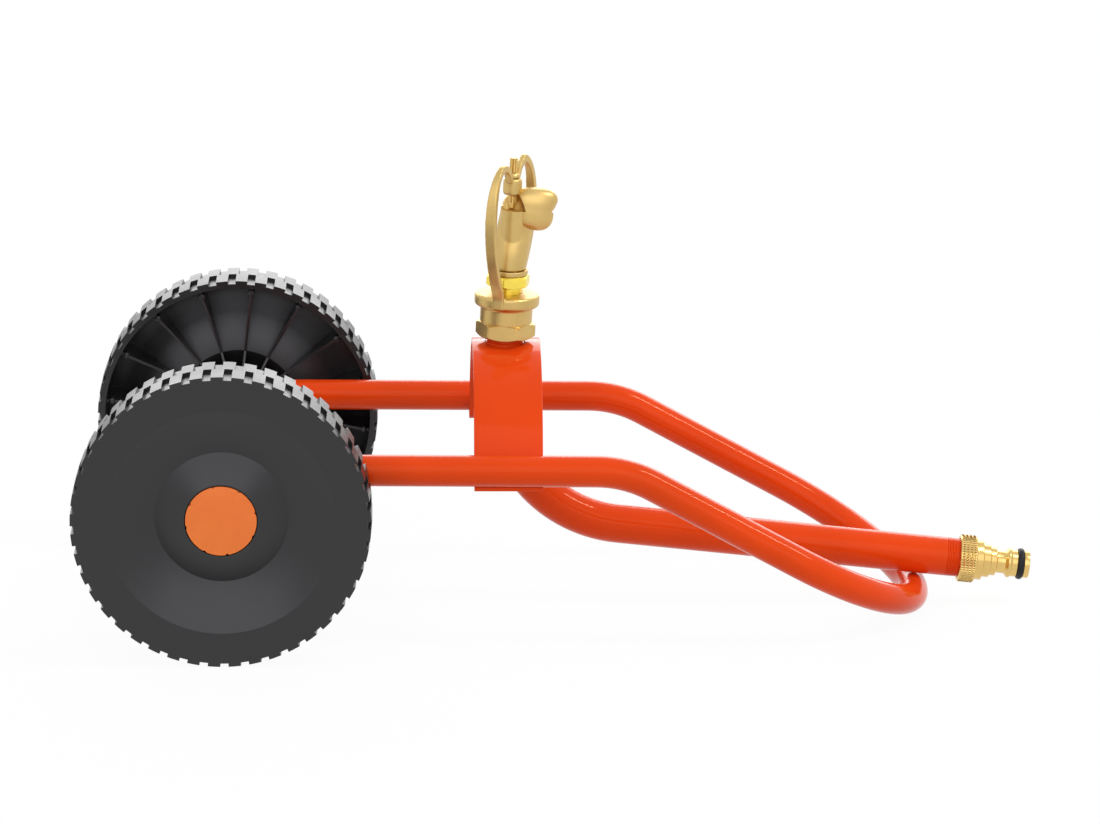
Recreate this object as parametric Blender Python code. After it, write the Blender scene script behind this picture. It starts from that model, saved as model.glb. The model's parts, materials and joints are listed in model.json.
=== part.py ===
"""Sprinkler sled: a two-wheeled tube sled with a water pipe and a rotating brass head.

Metres, +Z up. +X runs from the axle to the hose end, +Y to the left wheel. The origin is on the
ground, half way between the back of the wheels and the front of the hose nipple.
"""
import math

import bmesh
import bpy
from mathutils import Matrix, Vector

# Gap kept between pieces that touch on the real sled
GAP = 0.0003

# Wheels
WHEEL_RADIUS = 0.100
WHEEL_WIDTH = 0.0416
WHEEL_CLEARANCE = 0.00445
LUG_COUNT = 45
LUG_SHARE = 0.60
LUG_HEIGHT = 0.0025
LUG_EDGE_DROP = 0.0003
RIM_WALL = 0.0030
WEB_WALL = 0.0030
FACE_INNER_RADIUS = 0.0740
VALLEY_RADIUS = 0.0435
VALLEY_DEPTH = 0.0150
HUB_FACE_DEPTH = 0.0044
HUB_RADIUS = 0.0140
HUB_FLOOR_DEPTH = 0.0170
RIB_COUNT = 16
RIB_WALL = 0.0018
RIB_SETBACK = 0.0046
RIB_SHOULDER = 0.0060
HUB_RIB_DROP = 0.0040
WHEEL_LEFT_PHASE = math.radians(-16.2)
WHEEL_RIGHT_PHASE = math.radians(-0.88)

# Hub caps
CAP_RADIUS = 0.0239
CAP_WALL = 0.0020
CAP_SKIRT_WALL = 0.0018
CAP_SKIRT_DEPTH = 0.0062
CAP_DEPTH = 0.0047
CAP_STEP = 0.0005
CAP_NOTCHES = 8
CAP_NOTCH_RADIUS = 0.0009

# Axle, bushes, washers and push nuts
AXLE_RADIUS = 0.0060
AXLE_TUBE_RADIUS = 0.0100
AXLE_END_DEPTH = 0.0090
BUSH_WALL = 0.0017
BUSH_LENGTH = 0.0100
BUSH_FLANGE = 0.0018
BUSH_FLANGE_RADIUS = 0.0112
WASHER_RADIUS = 0.0105
WASHER_THICKNESS = 0.0015
PUSH_NUT_RADIUS = 0.0088
PUSH_NUT_THICKNESS = 0.0022
ROD_CHAMFER = 0.0008

# Bent frame tube
TUBE_RADIUS = 0.01065
TUBE_WALL = 0.0023
ARM_OFFSET = 0.1005
ARM_REAR = -0.0120
ARM_BEND_X = 0.2500
ARM_BEND_RADIUS = 0.0810
ARM_SLOPE = math.radians(28.34)
NOSE_RADIUS = 0.1000
PLUG_HEAD = 0.0020
PLUG_DEPTH = 0.0120
PLUG_RIM_SHARE = 0.60
PLUG_FACE_SHARE = 0.85

# Riser bracket
STRIP_THICKNESS = 0.0030
STRIP_WIDTH = 0.0466
BRACKET_RISE = 0.0651
BRACKET_LEG_GAP = 0.0018
BRACKET_FOOT_REACH = 0.0010
BRACKET_FOOT_BEND = 0.0055
BRACKET_LEAD = 0.0010
BRACKET_TWIST = math.radians(0.86)
BRACKET_STEPS = 20
BRACKET_FOOT_STEP = math.radians(22)
BRACKET_FOOT_SHARE = 1.6

# Water pipe
PIPE_RADIUS = 0.01345
PIPE_WALL = 0.0026
PIPE_SLOPE = math.radians(5.64)
PIPE_BEND_RADIUS = 0.0900
HOLE_CLEARANCE = 0.0004

# Sprinkler head: its axis, and heights along it above the hexagon's lower face
HEAD_BEHIND_BEND = 0.0608
HEAD_OVER_BRACKET = 0.00455
HEAD_LEAN = math.radians(2.3)
HEX_WALL = 0.00425
HEX_TURN = math.radians(-6.6)
HEX_HEIGHT = 0.0098
HEX_CHAMFER = 0.0016
NECK_WALL = 0.00420
NECK_TOP = 0.0212
FLANGE_OVERHANG = 0.00445
FLANGE_THICKNESS = 0.0086
FLANGE_ROUND = 0.0026
SOCKET_DEPTH = 0.0140
BAIL_WIDTH = 0.0070
BAIL_THICKNESS = 0.0036
BAIL_EDGE_CUT = 0.0011
BAIL_CLEARANCE = 0.0012
BAIL_PEAK = 0.1193
BAIL_TURN = math.radians(25.0)
BAIL_FOOT_TURN = math.radians(14.0)
BOSS_RADIUS = 0.0065
BOSS_DROP = 0.0207
BOSS_HEIGHT = 0.0118
BOSS_ROUND = 0.0018
BOSS_CHAMFER = 0.0006
SCREW_BORE = 0.0022

# Bearing and rotor
BEARING_NECK_RADIUS = 0.0095
BEARING_NECK_DEPTH = 0.0076
BEARING_HEX_FLATS = 0.0274
BEARING_HEX_RISE = 0.0052
BEARING_HEX_HEIGHT = 0.0080
BEARING_HEX_TURN = math.radians(12.0)
BEARING_HEX_CHAMFER = 0.0014
SPINDLE_RADIUS = 0.0065
SPINDLE_WALL = 0.0016
SPINDLE_COLLAR_RADIUS = 0.0087
SPINDLE_COLLAR = 0.0030
SPINDLE_REACH = 0.0090
SEAL_THICKNESS = 0.0010
RING_RADIUS = 0.0135
RING_HEIGHT = 0.0034
RING_CHAMFER = 0.0009
ROTOR_RADIUS = 0.0116
PIVOT_BOSS_RADIUS = 0.0089
PIVOT_BOSS_X = 0.0017
LEDGE_DROP = 0.0101
POCKET_RADIUS = 0.0086
SNOUT_REACH = 0.0315
SNOUT_PINCH = 0.30
LOWER_LIP_BACK = 0.0027
DUCT_RADIUS = 0.0048
MOUTH_RISE = 0.0008
MOUTH_GAP = 0.0032
MOUTH_HALF_WIDTH = 0.0052

# Adjusting screw
SCREW_HEAD_RADIUS = 0.0027
SCREW_HEAD_HEIGHT = 0.0100
SCREW_SHANK_RADIUS = 0.0018
SCREW_FLUTES = 9
FLUTE_DEPTH = 0.0004
LOCK_COLLAR_RADIUS = 0.0046
LOCK_COLLAR_HEIGHT = 0.0034
LOCK_COLLAR_CHAMFER = 0.0015
PIVOT_BUSH_RADIUS = 0.0029
PIVOT_BUSH_TOP_GAP = 0.0008
PIVOT_BUSH_HEIGHT = 0.0044
PIVOT_TIP_RADIUS = 0.0021
PIVOT_TIP_CHAMFER = 0.0009
SCREW_GRIP = 0.0030

# Hose nipple: distances along the pipe from the knurled ring's rear face
NIPPLE_PAST_NOSE = 0.0287
THREAD_DEPTH = 0.0110
KNURL_WALL = 0.00275
KNURL_LENGTH = 0.0142
KNURL_CHAMFER = 0.0006
NIPPLE_STEPS = ((0.0148, 0.0140), (0.0191, 0.0140), (0.0196, 0.0116), (0.0247, 0.0116),
                (0.0252, 0.0100), (0.0289, 0.0100), (0.0295, 0.0078), (0.0346, 0.0078),
                (0.0368, 0.0104), (0.0376, 0.0104), (0.0389, 0.0094), (0.0439, 0.0094))
NIPPLE_BORE = 0.0050
INLET_WASHER = 0.0015
ORING_RADIUS = 0.01075
ORING_GROOVE_RADIUS = 0.0080
ORING_GROOVE_WIDTH = 0.0047
NIPPLE_COLLAR_RADIUS = 0.0095
NIPPLE_COLLAR = 0.0030

# How far a cutting tool runs past the face it cuts through
CUT_SPARE = 0.0010

# Sizes that follow from the ones above
WHEEL_INNER_Y = ARM_OFFSET + TUBE_RADIUS + WHEEL_CLEARANCE
AXLE_BORE = AXLE_RADIUS + GAP
SOCKET_RADIUS = PIPE_RADIUS + GAP
HEX_FLATS = 2 * (SOCKET_RADIUS + HEX_WALL)
NECK_RADIUS = SOCKET_RADIUS + NECK_WALL
FLANGE_RADIUS = NECK_RADIUS + FLANGE_OVERHANG
FLANGE_TOP = NECK_TOP + FLANGE_THICKNESS
KNURL_RADIUS = SOCKET_RADIUS + KNURL_WALL
BEARING_NECK_LOW = FLANGE_TOP - BEARING_NECK_DEPTH
BEARING_HEX_LOW = FLANGE_TOP + BEARING_HEX_RISE
RING_LOW = BEARING_HEX_LOW + BEARING_HEX_HEIGHT + GAP
ROTOR_LOW = RING_LOW + RING_HEIGHT + GAP
SPINDLE_TOP = ROTOR_LOW + SPINDLE_REACH
BAIL_SPREAD = SNOUT_REACH + BAIL_CLEARANCE + BAIL_THICKNESS / 2
BOSS_LOW = BAIL_PEAK - BOSS_DROP
BOSS_TOP = BOSS_LOW + BOSS_HEIGHT
LEDGE_HEIGHT = BOSS_LOW - LEDGE_DROP
MOUTH_HEIGHT = LEDGE_HEIGHT + MOUTH_RISE

# Facets round a large, a middling and a small turned piece
ROUND = 28
MEDIUM = 20
SMALL = 16
TUBE_SIDES = 12
PIPE_SIDES = 14
WHEEL_SIDES = 24


def arm_height():
    """Height of the frame tube's level arms: they rest on the axle tube."""
    return WHEEL_RADIUS + AXLE_TUBE_RADIUS + GAP + TUBE_RADIUS


def nose_point():
    """Tube centre at the tip of the nose, where it lies on the ground."""
    vertex_x = ARM_BEND_X + ARM_BEND_RADIUS * math.tan(ARM_SLOPE / 2)
    drop = arm_height() - TUBE_RADIUS
    return Vector((vertex_x + drop / math.tan(ARM_SLOPE), 0, TUBE_RADIUS)), vertex_x


def pipe_direction():
    return Vector((math.cos(PIPE_SLOPE), 0, -math.sin(PIPE_SLOPE)))


def pipe_over_nose():
    """Point of the pipe's axis straight over the nose, one gap clear of the tube."""
    normal = Vector((math.sin(PIPE_SLOPE), 0, math.cos(PIPE_SLOPE)))
    return nose_point()[0] + normal * (TUBE_RADIUS + GAP + PIPE_RADIUS)


def nipple_point(along):
    """Point of the hose nipple's axis, measured from the knurled ring's rear face."""
    return pipe_over_nose() + pipe_direction() * (NIPPLE_PAST_NOSE + along)


def nipple_length():
    return NIPPLE_STEPS[-1][0] + ORING_GROOVE_WIDTH + NIPPLE_COLLAR


def head_direction():
    return Vector((math.sin(HEAD_LEAN), 0, math.cos(HEAD_LEAN)))


def head_x():
    return ARM_BEND_X - HEAD_BEHIND_BEND


def head_point(height):
    seat = arm_height() + BRACKET_RISE + HEAD_OVER_BRACKET
    return Vector((head_x(), 0, seat)) + head_direction() * height


def sled_shift():
    """Where the axle lies, so that the origin is in the middle of the sled's length."""
    front = nipple_point(nipple_length()).x + NIPPLE_COLLAR_RADIUS * math.sin(PIPE_SLOPE)
    return -(front - WHEEL_RADIUS) / 2


def material(name, colour, roughness, metallic=0.0):
    found = bpy.data.materials.get(name)
    if found:
        return found
    made = bpy.data.materials.new(name)
    made.use_nodes = True
    shader = made.node_tree.nodes["Principled BSDF"]
    shader.inputs["Base Color"].default_value = (*colour, 1.0)
    shader.inputs["Roughness"].default_value = roughness
    shader.inputs["Metallic"].default_value = metallic
    made.diffuse_color = (*colour, 1.0)
    return made


def red_paint():
    return material("red_paint", (0.80, 0.09, 0.012), 0.22)


def cast_brass():
    return material("cast_brass", (0.58, 0.38, 0.12), 0.42, 1.0)


def turned_brass():
    return material("turned_brass", (0.78, 0.56, 0.20), 0.22, 1.0)


def bright_steel():
    return material("zinc_steel", (0.55, 0.56, 0.58), 0.35, 1.0)


def black_plastic():
    return material("black_plastic", (0.028, 0.028, 0.030), 0.45)


def orange_plastic():
    return material("orange_plastic", (1.0, 0.20, 0.035), 0.35)


def white_nylon():
    return material("white_nylon", (0.75, 0.74, 0.70), 0.5)


def black_rubber():
    return material("black_rubber", (0.02, 0.02, 0.02), 0.6)


def frame_empty(name, parent, location, turn=None):
    empty = bpy.data.objects.new(name, None)
    empty.empty_display_size = 0.02
    empty.location = location
    if turn is not None:
        empty.rotation_euler = turn
    empty.parent = parent
    bpy.context.scene.collection.objects.link(empty)
    return empty


def add_object(name, bm, parent, look, smooth_angle=35):
    """Finish a bmesh as a named object whose faces point outwards."""
    bmesh.ops.remove_doubles(bm, verts=bm.verts, dist=1e-7)
    bmesh.ops.recalc_face_normals(bm, faces=bm.faces)
    mesh = bpy.data.meshes.new(name)
    bm.to_mesh(mesh)
    bm.free()
    mesh.materials.append(look)
    mesh.shade_smooth()
    mesh.set_sharp_from_angle(angle=math.radians(smooth_angle))
    made = bpy.data.objects.new(name, mesh)
    made.parent = parent
    bpy.context.scene.collection.objects.link(made)
    return made


def combine(target, helper, operation):
    """Join a helper to the target, or cut it out, and hide the helper."""
    helper.hide_render = True
    helper.display_type = 'WIRE'
    step = target.modifiers.new(helper.name, 'BOOLEAN')
    step.operation = operation
    step.solver = 'EXACT'
    step.object = helper


def loft(bm, rings, closed=False):
    """Skin rings of equal length. Open lofts get end faces, closed ones join up."""
    rows = [[bm.verts.new(point) for point in ring] for ring in rings]
    pairs = list(zip(rows, rows[1:]))
    if closed:
        pairs.append((rows[-1], rows[0]))
    for low, high in pairs:
        count = len(low)
        for i in range(count):
            j = (i + 1) % count
            bm.faces.new((low[i], low[j], high[j], high[i]))
    if not closed:
        bm.faces.new(rows[0])
        bm.faces.new(rows[-1])


def revolve(profile, segments=ROUND):
    """Turn a closed profile of (radius, height) points about local Z."""
    bm = bmesh.new()
    points = [bm.verts.new((radius, 0, height)) for radius, height in profile]
    edges = [bm.edges.new((a, b)) for a, b in zip(points, points[1:] + points[:1])]
    bmesh.ops.spin(bm, geom=points + edges, cent=(0, 0, 0), axis=(0, 0, 1),
                   angle=2 * math.pi, steps=segments, use_merge=True)
    return bm


def revolve_solid(outline, segments=ROUND):
    """A turned body with no bore, from its outer outline of (radius, height) points."""
    bm = bmesh.new()
    rings = [[(radius * math.cos(a), radius * math.sin(a), height)
              for a in (2 * math.pi * k / segments for k in range(segments))]
             for radius, height in outline]
    loft(bm, rings)
    return bm


def ring_profile(inner, outer, low, high):
    return [(inner, low), (outer, low), (outer, high), (inner, high)]


def filleted_path(corners, radii, step_angle=math.radians(10.5)):
    """Points of a polyline whose inner corners are arcs of the given radii."""
    points = [corners[0]]
    for before, corner, after, radius in zip(corners, corners[1:], corners[2:], radii):
        back = (before - corner).normalized()
        ahead = (after - corner).normalized()
        half = back.angle(ahead) / 2
        reach = radius / math.tan(half)
        centre = corner + (back + ahead).normalized() * (radius / math.sin(half))
        start = corner + back * reach - centre
        end = corner + ahead * reach - centre
        sweep = start.angle(end)
        axis = start.cross(end).normalized()
        count = max(2, round(sweep / step_angle))
        for k in range(count + 1):
            points.append(centre + Matrix.Rotation(sweep * k / count, 3, axis) @ start)
    points.append(corners[-1])
    return points


def path_frames(points, first_side):
    """Each point with its tangent and two section axes, carried along without twist."""
    frames = []
    side = first_side
    for i, point in enumerate(points):
        ahead = points[min(i + 1, len(points) - 1)]
        behind = points[max(i - 1, 0)]
        into = (point - behind).normalized() if i else (ahead - point).normalized()
        out = (ahead - point).normalized() if i < len(points) - 1 else into
        tangent = (into + out).normalized()
        side = (side - tangent * side.dot(tangent)).normalized()
        frames.append((point, tangent, side, tangent.cross(side)))
    return frames


def tube_rings(frames, radius, sides=TUBE_SIDES):
    rings = []
    for point, _, side, other in frames:
        ring = []
        for k in range(sides):
            a = 2 * math.pi * k / sides
            ring.append(point + side * (radius * math.cos(a)) + other * (radius * math.sin(a)))
        rings.append(ring)
    return rings


def hollow_tube(points, radius, wall, first_side, sides=TUBE_SIDES):
    bm = bmesh.new()
    frames = path_frames(points, first_side)
    outer = tube_rings(frames, radius, sides)
    inner = tube_rings(frames, radius - wall, sides)
    loft(bm, outer + inner[::-1], closed=True)
    return bm


def prism(outline, low, high):
    """Extrude a closed (x, y) outline between two heights."""
    bm = bmesh.new()
    loft(bm, [[(x, y, low) for x, y in outline], [(x, y, high) for x, y in outline]])
    return bm


def fluted_circle(radius):
    """Outline of a fluted pin: ridges and valleys by turns."""
    outline = []
    for k in range(SCREW_FLUTES * 2):
        a = math.pi * k / SCREW_FLUTES
        reach = radius - FLUTE_DEPTH * (k % 2)
        outline.append((reach * math.cos(a), reach * math.sin(a)))
    return outline


def box(size, centre, turn=None):
    bm = bmesh.new()
    place = Matrix.Translation(centre)
    if turn is not None:
        place = place @ turn
    bmesh.ops.create_cube(bm, size=1.0, matrix=place @ Matrix.Diagonal((*size, 1.0)))
    return bm


def build_frame_tube(parent):
    tip, vertex_x = nose_point()
    high = arm_height()
    corners = [Vector((ARM_REAR, -ARM_OFFSET, high)), Vector((vertex_x, -ARM_OFFSET, high)),
               Vector((tip.x, -ARM_OFFSET, tip.z)), Vector((tip.x, ARM_OFFSET, tip.z)),
               Vector((vertex_x, ARM_OFFSET, high)), Vector((ARM_REAR, ARM_OFFSET, high))]
    nose = min(NOSE_RADIUS, ARM_OFFSET)
    points = filleted_path(corners, [ARM_BEND_RADIUS, nose, nose, ARM_BEND_RADIUS])
    add_object("frame_tube", hollow_tube(points, TUBE_RADIUS, TUBE_WALL, Vector((0, 1, 0))),
               parent, red_paint())


def build_tube_end_plug(word, y, parent):
    """Plug with a domed head in the open rear end of one arm."""
    stem = TUBE_RADIUS - TUBE_WALL - GAP
    outline = [(stem, PLUG_DEPTH), (stem, -GAP), (TUBE_RADIUS, -GAP),
               (TUBE_RADIUS, -GAP - PLUG_HEAD * PLUG_RIM_SHARE),
               (TUBE_RADIUS * PLUG_FACE_SHARE, -GAP - PLUG_HEAD)]
    plug = add_object("tube_end_plug_" + word, revolve_solid(outline, TUBE_SIDES), parent, black_plastic())
    plug.location = (ARM_REAR, y, arm_height())
    plug.rotation_euler = (0, math.pi / 2, 0)


def inner_stack():
    """Bush flange and washer between the wheel's hub and the axle tube."""
    return BUSH_FLANGE + WASHER_THICKNESS + 3 * GAP


def build_axle(parent):
    """Axle tube and the rod through it, turned about the axle line."""
    axle = frame_empty("axle_line", parent, (0, 0, WHEEL_RADIUS), (-math.pi / 2, 0, 0))
    tube_end = WHEEL_INNER_Y - inner_stack()
    tube = revolve(ring_profile(AXLE_BORE, AXLE_TUBE_RADIUS, -tube_end, tube_end), SMALL)
    add_object("axle_tube", tube, axle, red_paint())
    end = WHEEL_INNER_Y + WHEEL_WIDTH - AXLE_END_DEPTH
    tip = ROD_CHAMFER
    rod = revolve_solid([(AXLE_RADIUS - tip, -end), (AXLE_RADIUS, -end + tip),
                         (AXLE_RADIUS, end - tip), (AXLE_RADIUS - tip, end)], SMALL)
    add_object("axle_rod", rod, axle, bright_steel())


def build_axle_end(side, parent):
    """Everything on one end of the axle. Side is 1 for the left end, -1 for the right.

    Local Z is the axle and points away from the sled, with zero at the wheel's outer face.
    """
    word = "left" if side > 0 else "right"
    phase = WHEEL_LEFT_PHASE if side > 0 else WHEEL_RIGHT_PHASE
    outer_y = side * (WHEEL_INNER_Y + WHEEL_WIDTH)
    axis = frame_empty("axle_end_" + word, parent, (0, outer_y, WHEEL_RADIUS), (-side * math.pi / 2, 0, 0))
    build_wheel(word, phase, axis)
    build_wheel_bush(word + "_outer", -HUB_FLOOR_DEPTH, 1, axis)
    build_wheel_bush(word + "_inner", -WHEEL_WIDTH, -1, axis)
    build_hub_cap(word, axis)
    outer_low = BUSH_FLANGE + 2 * GAP - HUB_FLOOR_DEPTH
    inner_low = -WHEEL_WIDTH - inner_stack() + GAP
    nut_low = outer_low + WASHER_THICKNESS + GAP
    rings = (("axle_washer_inner_", WASHER_RADIUS, inner_low, WASHER_THICKNESS),
             ("axle_washer_outer_", WASHER_RADIUS, outer_low, WASHER_THICKNESS),
             ("axle_push_nut_", PUSH_NUT_RADIUS, nut_low, PUSH_NUT_THICKNESS))
    for name, radius, low, thick in rings:
        ring = revolve(ring_profile(AXLE_BORE, radius, low, low + thick), SMALL)
        add_object(name + word, ring, axis, bright_steel())


def lug_radius(depth):
    """Tread radius over the wheel's width: highest in the middle."""
    off = abs(depth - WHEEL_WIDTH / 2) / (WHEEL_WIDTH / 2)
    return WHEEL_RADIUS - LUG_EDGE_DROP * off * off


def wheel_point(radius, angle, depth):
    """Depth 0 is the outer face. Local Z is the wheel's axis and points out of the outer face."""
    return Vector((radius * math.cos(angle), radius * math.sin(angle), -depth))


def dish_point(share):
    """Radius and depth of the dished face, from the flat rim face down to the valley."""
    radius = FACE_INNER_RADIUS + (VALLEY_RADIUS - FACE_INNER_RADIUS) * share
    return radius, VALLEY_DEPTH * math.sin(share * math.pi / 2) ** 1.25


def recess_radius():
    return CAP_RADIUS + GAP


def rim_inner_radius():
    return WHEEL_RADIUS - LUG_HEIGHT - RIM_WALL


def underside():
    """Radius and depth of the web's inner side, from the cap recess out to the rim."""
    wall = recess_radius() + WEB_WALL
    slope = (VALLEY_DEPTH - HUB_FACE_DEPTH) / (VALLEY_RADIUS - recess_radius())
    middle = dish_point(0.5)
    return [(wall, HUB_FLOOR_DEPTH + WEB_WALL), (wall, HUB_FACE_DEPTH + WEB_WALL * (slope + 1.2)),
            (VALLEY_RADIUS, VALLEY_DEPTH + WEB_WALL * 1.15), (middle[0], middle[1] + WEB_WALL * 1.1),
            (FACE_INNER_RADIUS, WEB_WALL), (rim_inner_radius(), WEB_WALL)]


def wheel_profile():
    """Closed run of radius and depth: outer face, dish, cap recess, bore, hub, underside, rim."""
    recess = recess_radius()
    bush = AXLE_BORE + BUSH_WALL + GAP
    face = [(FACE_INNER_RADIUS, 0)] + [dish_point(share) for share in (0.25, 0.5, 0.75, 1.0)]
    hub = [(recess, HUB_FACE_DEPTH), (recess, HUB_FLOOR_DEPTH), (bush, HUB_FLOOR_DEPTH),
           (bush, WHEEL_WIDTH), (HUB_RADIUS, WHEEL_WIDTH), (HUB_RADIUS, HUB_FLOOR_DEPTH + WEB_WALL)]
    return face + hub + underside() + [(rim_inner_radius(), WHEEL_WIDTH)]


def zip_rows(bm, first, second):
    """Fill between two rings of different counts, each in order of angle about local Z."""
    turns = []
    for row in (first, second):
        angles = [math.atan2(vert.co.y, vert.co.x) % (2 * math.pi) for vert in row]
        start = angles.index(min(angles))
        ordered = row[start:] + row[:start]
        turns.append([(angle, vert) for angle, vert in zip(angles[start:] + angles[:start], ordered)])
    near, far = (turn + [(turn[0][0] + 2 * math.pi, turn[0][1])] for turn in turns)
    i = j = 0
    while i < len(near) - 1 or j < len(far) - 1:
        step_near = j == len(far) - 1 or (i < len(near) - 1 and near[i + 1][0] < far[j + 1][0])
        if step_near:
            bm.faces.new((near[i][1], near[i + 1][1], far[j][1]))
            i += 1
        else:
            bm.faces.new((near[i][1], far[j + 1][1], far[j][1]))
            j += 1


def wheel_body_mesh():
    """One closed shell: turned body with two staggered rows of lugs around it."""
    bm = bmesh.new()
    rows = []
    for radius, depth in wheel_profile():
        rows.append([bm.verts.new(wheel_point(radius, 2 * math.pi * k / WHEEL_SIDES, depth))
                     for k in range(WHEEL_SIDES)])
    for low, high in zip(rows, rows[1:]):
        for k in range(WHEEL_SIDES):
            n = (k + 1) % WHEEL_SIDES
            bm.faces.new((low[k], low[n], high[n], high[k]))
    edges = add_lugs(bm)
    zip_rows(bm, rows[0], edges[0])
    zip_rows(bm, rows[-1], edges[1])
    return bm


def add_lugs(bm):
    """Tread surface. Returns the rings of its outer and inner edge."""
    pitch = 2 * math.pi / LUG_COUNT
    half_lug = pitch * LUG_SHARE / 2
    base = WHEEL_RADIUS - LUG_HEIGHT
    middle = WHEEL_WIDTH / 2
    count = 2 * LUG_COUNT
    edge_base, edge_lug, mid_base, mid_lug = [], [], [], []
    # The outer row of lugs sits half a pitch on from the inner row
    for depth, phase in ((0.0, pitch / 2), (WHEEL_WIDTH, 0.0)):
        angles = [pitch * k + phase + side for k in range(LUG_COUNT) for side in (-half_lug, half_lug)]
        edge_base.append([bm.verts.new(wheel_point(base, a, depth)) for a in angles])
        edge_lug.append([bm.verts.new(wheel_point(lug_radius(depth), a, depth)) for a in angles])
        mid_base.append([bm.verts.new(wheel_point(base, a, middle)) for a in angles])
        mid_lug.append([bm.verts.new(wheel_point(lug_radius(middle), a, middle)) for a in angles])
    for s in (0, 1):
        other = mid_lug[1 - s]
        for k in range(LUG_COUNT):
            a, b, c = 2 * k, 2 * k + 1, (2 * k + 2) % count
            # Each lug's middle edge runs past the ends of two lugs of the other row
            first, last = (other[b], other[c]) if s == 0 else (other[a - 1], other[a])
            bm.faces.new((edge_lug[s][a], edge_lug[s][b], mid_lug[s][b], last, first, mid_lug[s][a]))
            bm.faces.new((edge_base[s][a], edge_base[s][b], edge_lug[s][b], edge_lug[s][a]))
            bm.faces.new((edge_base[s][b], edge_base[s][c], mid_base[s][c], mid_base[s][b]))
            for i in (a, b):
                bm.faces.new((edge_base[s][i], edge_lug[s][i], mid_lug[s][i], mid_base[s][i]))
            # The other row's lug closes the middle over this row's groove
            bm.faces.new((mid_base[s][b], mid_base[s][c], mid_lug[s][c], mid_lug[s][b]))
    return edge_base


def rib_outline():
    """Radius and depth of one rib: free edge from hub to valley to rim, rear edge in the web."""
    rim = WHEEL_RADIUS - LUG_HEIGHT - RIM_WALL / 2
    high = WHEEL_WIDTH - RIB_SETBACK
    low = high - HUB_RIB_DROP
    hub = HUB_RADIUS - WEB_WALL / 2
    free = [(hub, low), (HUB_RADIUS + WEB_WALL, low), (VALLEY_RADIUS, VALLEY_DEPTH + WEB_WALL * 1.6),
            (rim - RIB_SHOULDER, high), (rim, high)]
    web = [(radius, depth - WEB_WALL / 2) for radius, depth in underside()]
    inward = [(rim, WEB_WALL / 2)] + web[:1:-1]
    cup = [(web[1][0] - WEB_WALL / 2, web[1][1]), (web[0][0] - WEB_WALL / 2, web[0][1]), (hub, web[0][1])]
    return free + inward + cup


def wheel_ribs_mesh():
    """Radial ribs behind the dish, to be joined to the wheel body."""
    bm = bmesh.new()
    outline = rib_outline()
    for k in range(RIB_COUNT):
        turn = Matrix.Rotation(2 * math.pi * k / RIB_COUNT, 3, 'Z')
        rings = [[turn @ Vector((radius, side, -depth)) for radius, depth in outline]
                 for side in (-RIB_WALL / 2, RIB_WALL / 2)]
        loft(bm, rings)
    return bm


def build_wheel(word, phase, axis):
    wheel = add_object("wheel_" + word, wheel_body_mesh(), axis, black_plastic(), 30)
    ribs = add_object("ribs_" + word, wheel_ribs_mesh(), axis, black_plastic())
    combine(wheel, ribs, 'UNION')
    for turned in (wheel, ribs):
        turned.rotation_euler.z = phase


def build_wheel_bush(word, face, away, axis):
    """Flanged bush. Its flange lies on the hub's end face and its sleeve goes into the bore."""
    bore = AXLE_BORE
    outer = bore + BUSH_WALL
    profile = [(bore, face - away * BUSH_LENGTH), (outer, face - away * BUSH_LENGTH),
               (outer, face + away * GAP), (BUSH_FLANGE_RADIUS, face + away * GAP),
               (BUSH_FLANGE_RADIUS, face + away * BUSH_FLANGE), (bore, face + away * BUSH_FLANGE)]
    add_object("wheel_bush_" + word, revolve(profile, SMALL), axis, white_nylon())


def build_hub_cap(word, axis):
    """Flat cap with a skirt that snaps in the hub's recess, small notches round its edge."""
    skirt = CAP_RADIUS - CAP_STEP
    top = -CAP_DEPTH
    inner = skirt - CAP_SKIRT_WALL
    end = top - CAP_SKIRT_DEPTH
    outline = [(0, top - CAP_WALL), (inner, top - CAP_WALL), (inner, end), (skirt, end),
               (skirt, top - CAP_WALL), (CAP_RADIUS, top - CAP_WALL), (CAP_RADIUS, top - CAP_STEP),
               (CAP_RADIUS - CAP_STEP, top), (0, top)]
    cap = add_object("hub_cap_" + word, revolve(outline, WHEEL_SIDES), axis, orange_plastic())
    notches = bmesh.new()
    for k in range(CAP_NOTCHES):
        a = 2 * math.pi * (k + 0.5) / CAP_NOTCHES
        centre = Vector((CAP_RADIUS * math.cos(a), CAP_RADIUS * math.sin(a), 0))
        rings = [[centre + Vector((CAP_NOTCH_RADIUS * math.cos(b), CAP_NOTCH_RADIUS * math.sin(b), z))
                  for b in (2 * math.pi * i / 6 for i in range(6))]
                 for z in (top - CAP_WALL - CAP_STEP, top + CAP_STEP)]
        loft(notches, rings)
    combine(cap, add_object("cap_notches_" + word, notches, axis, orange_plastic()), 'DIFFERENCE')


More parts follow.
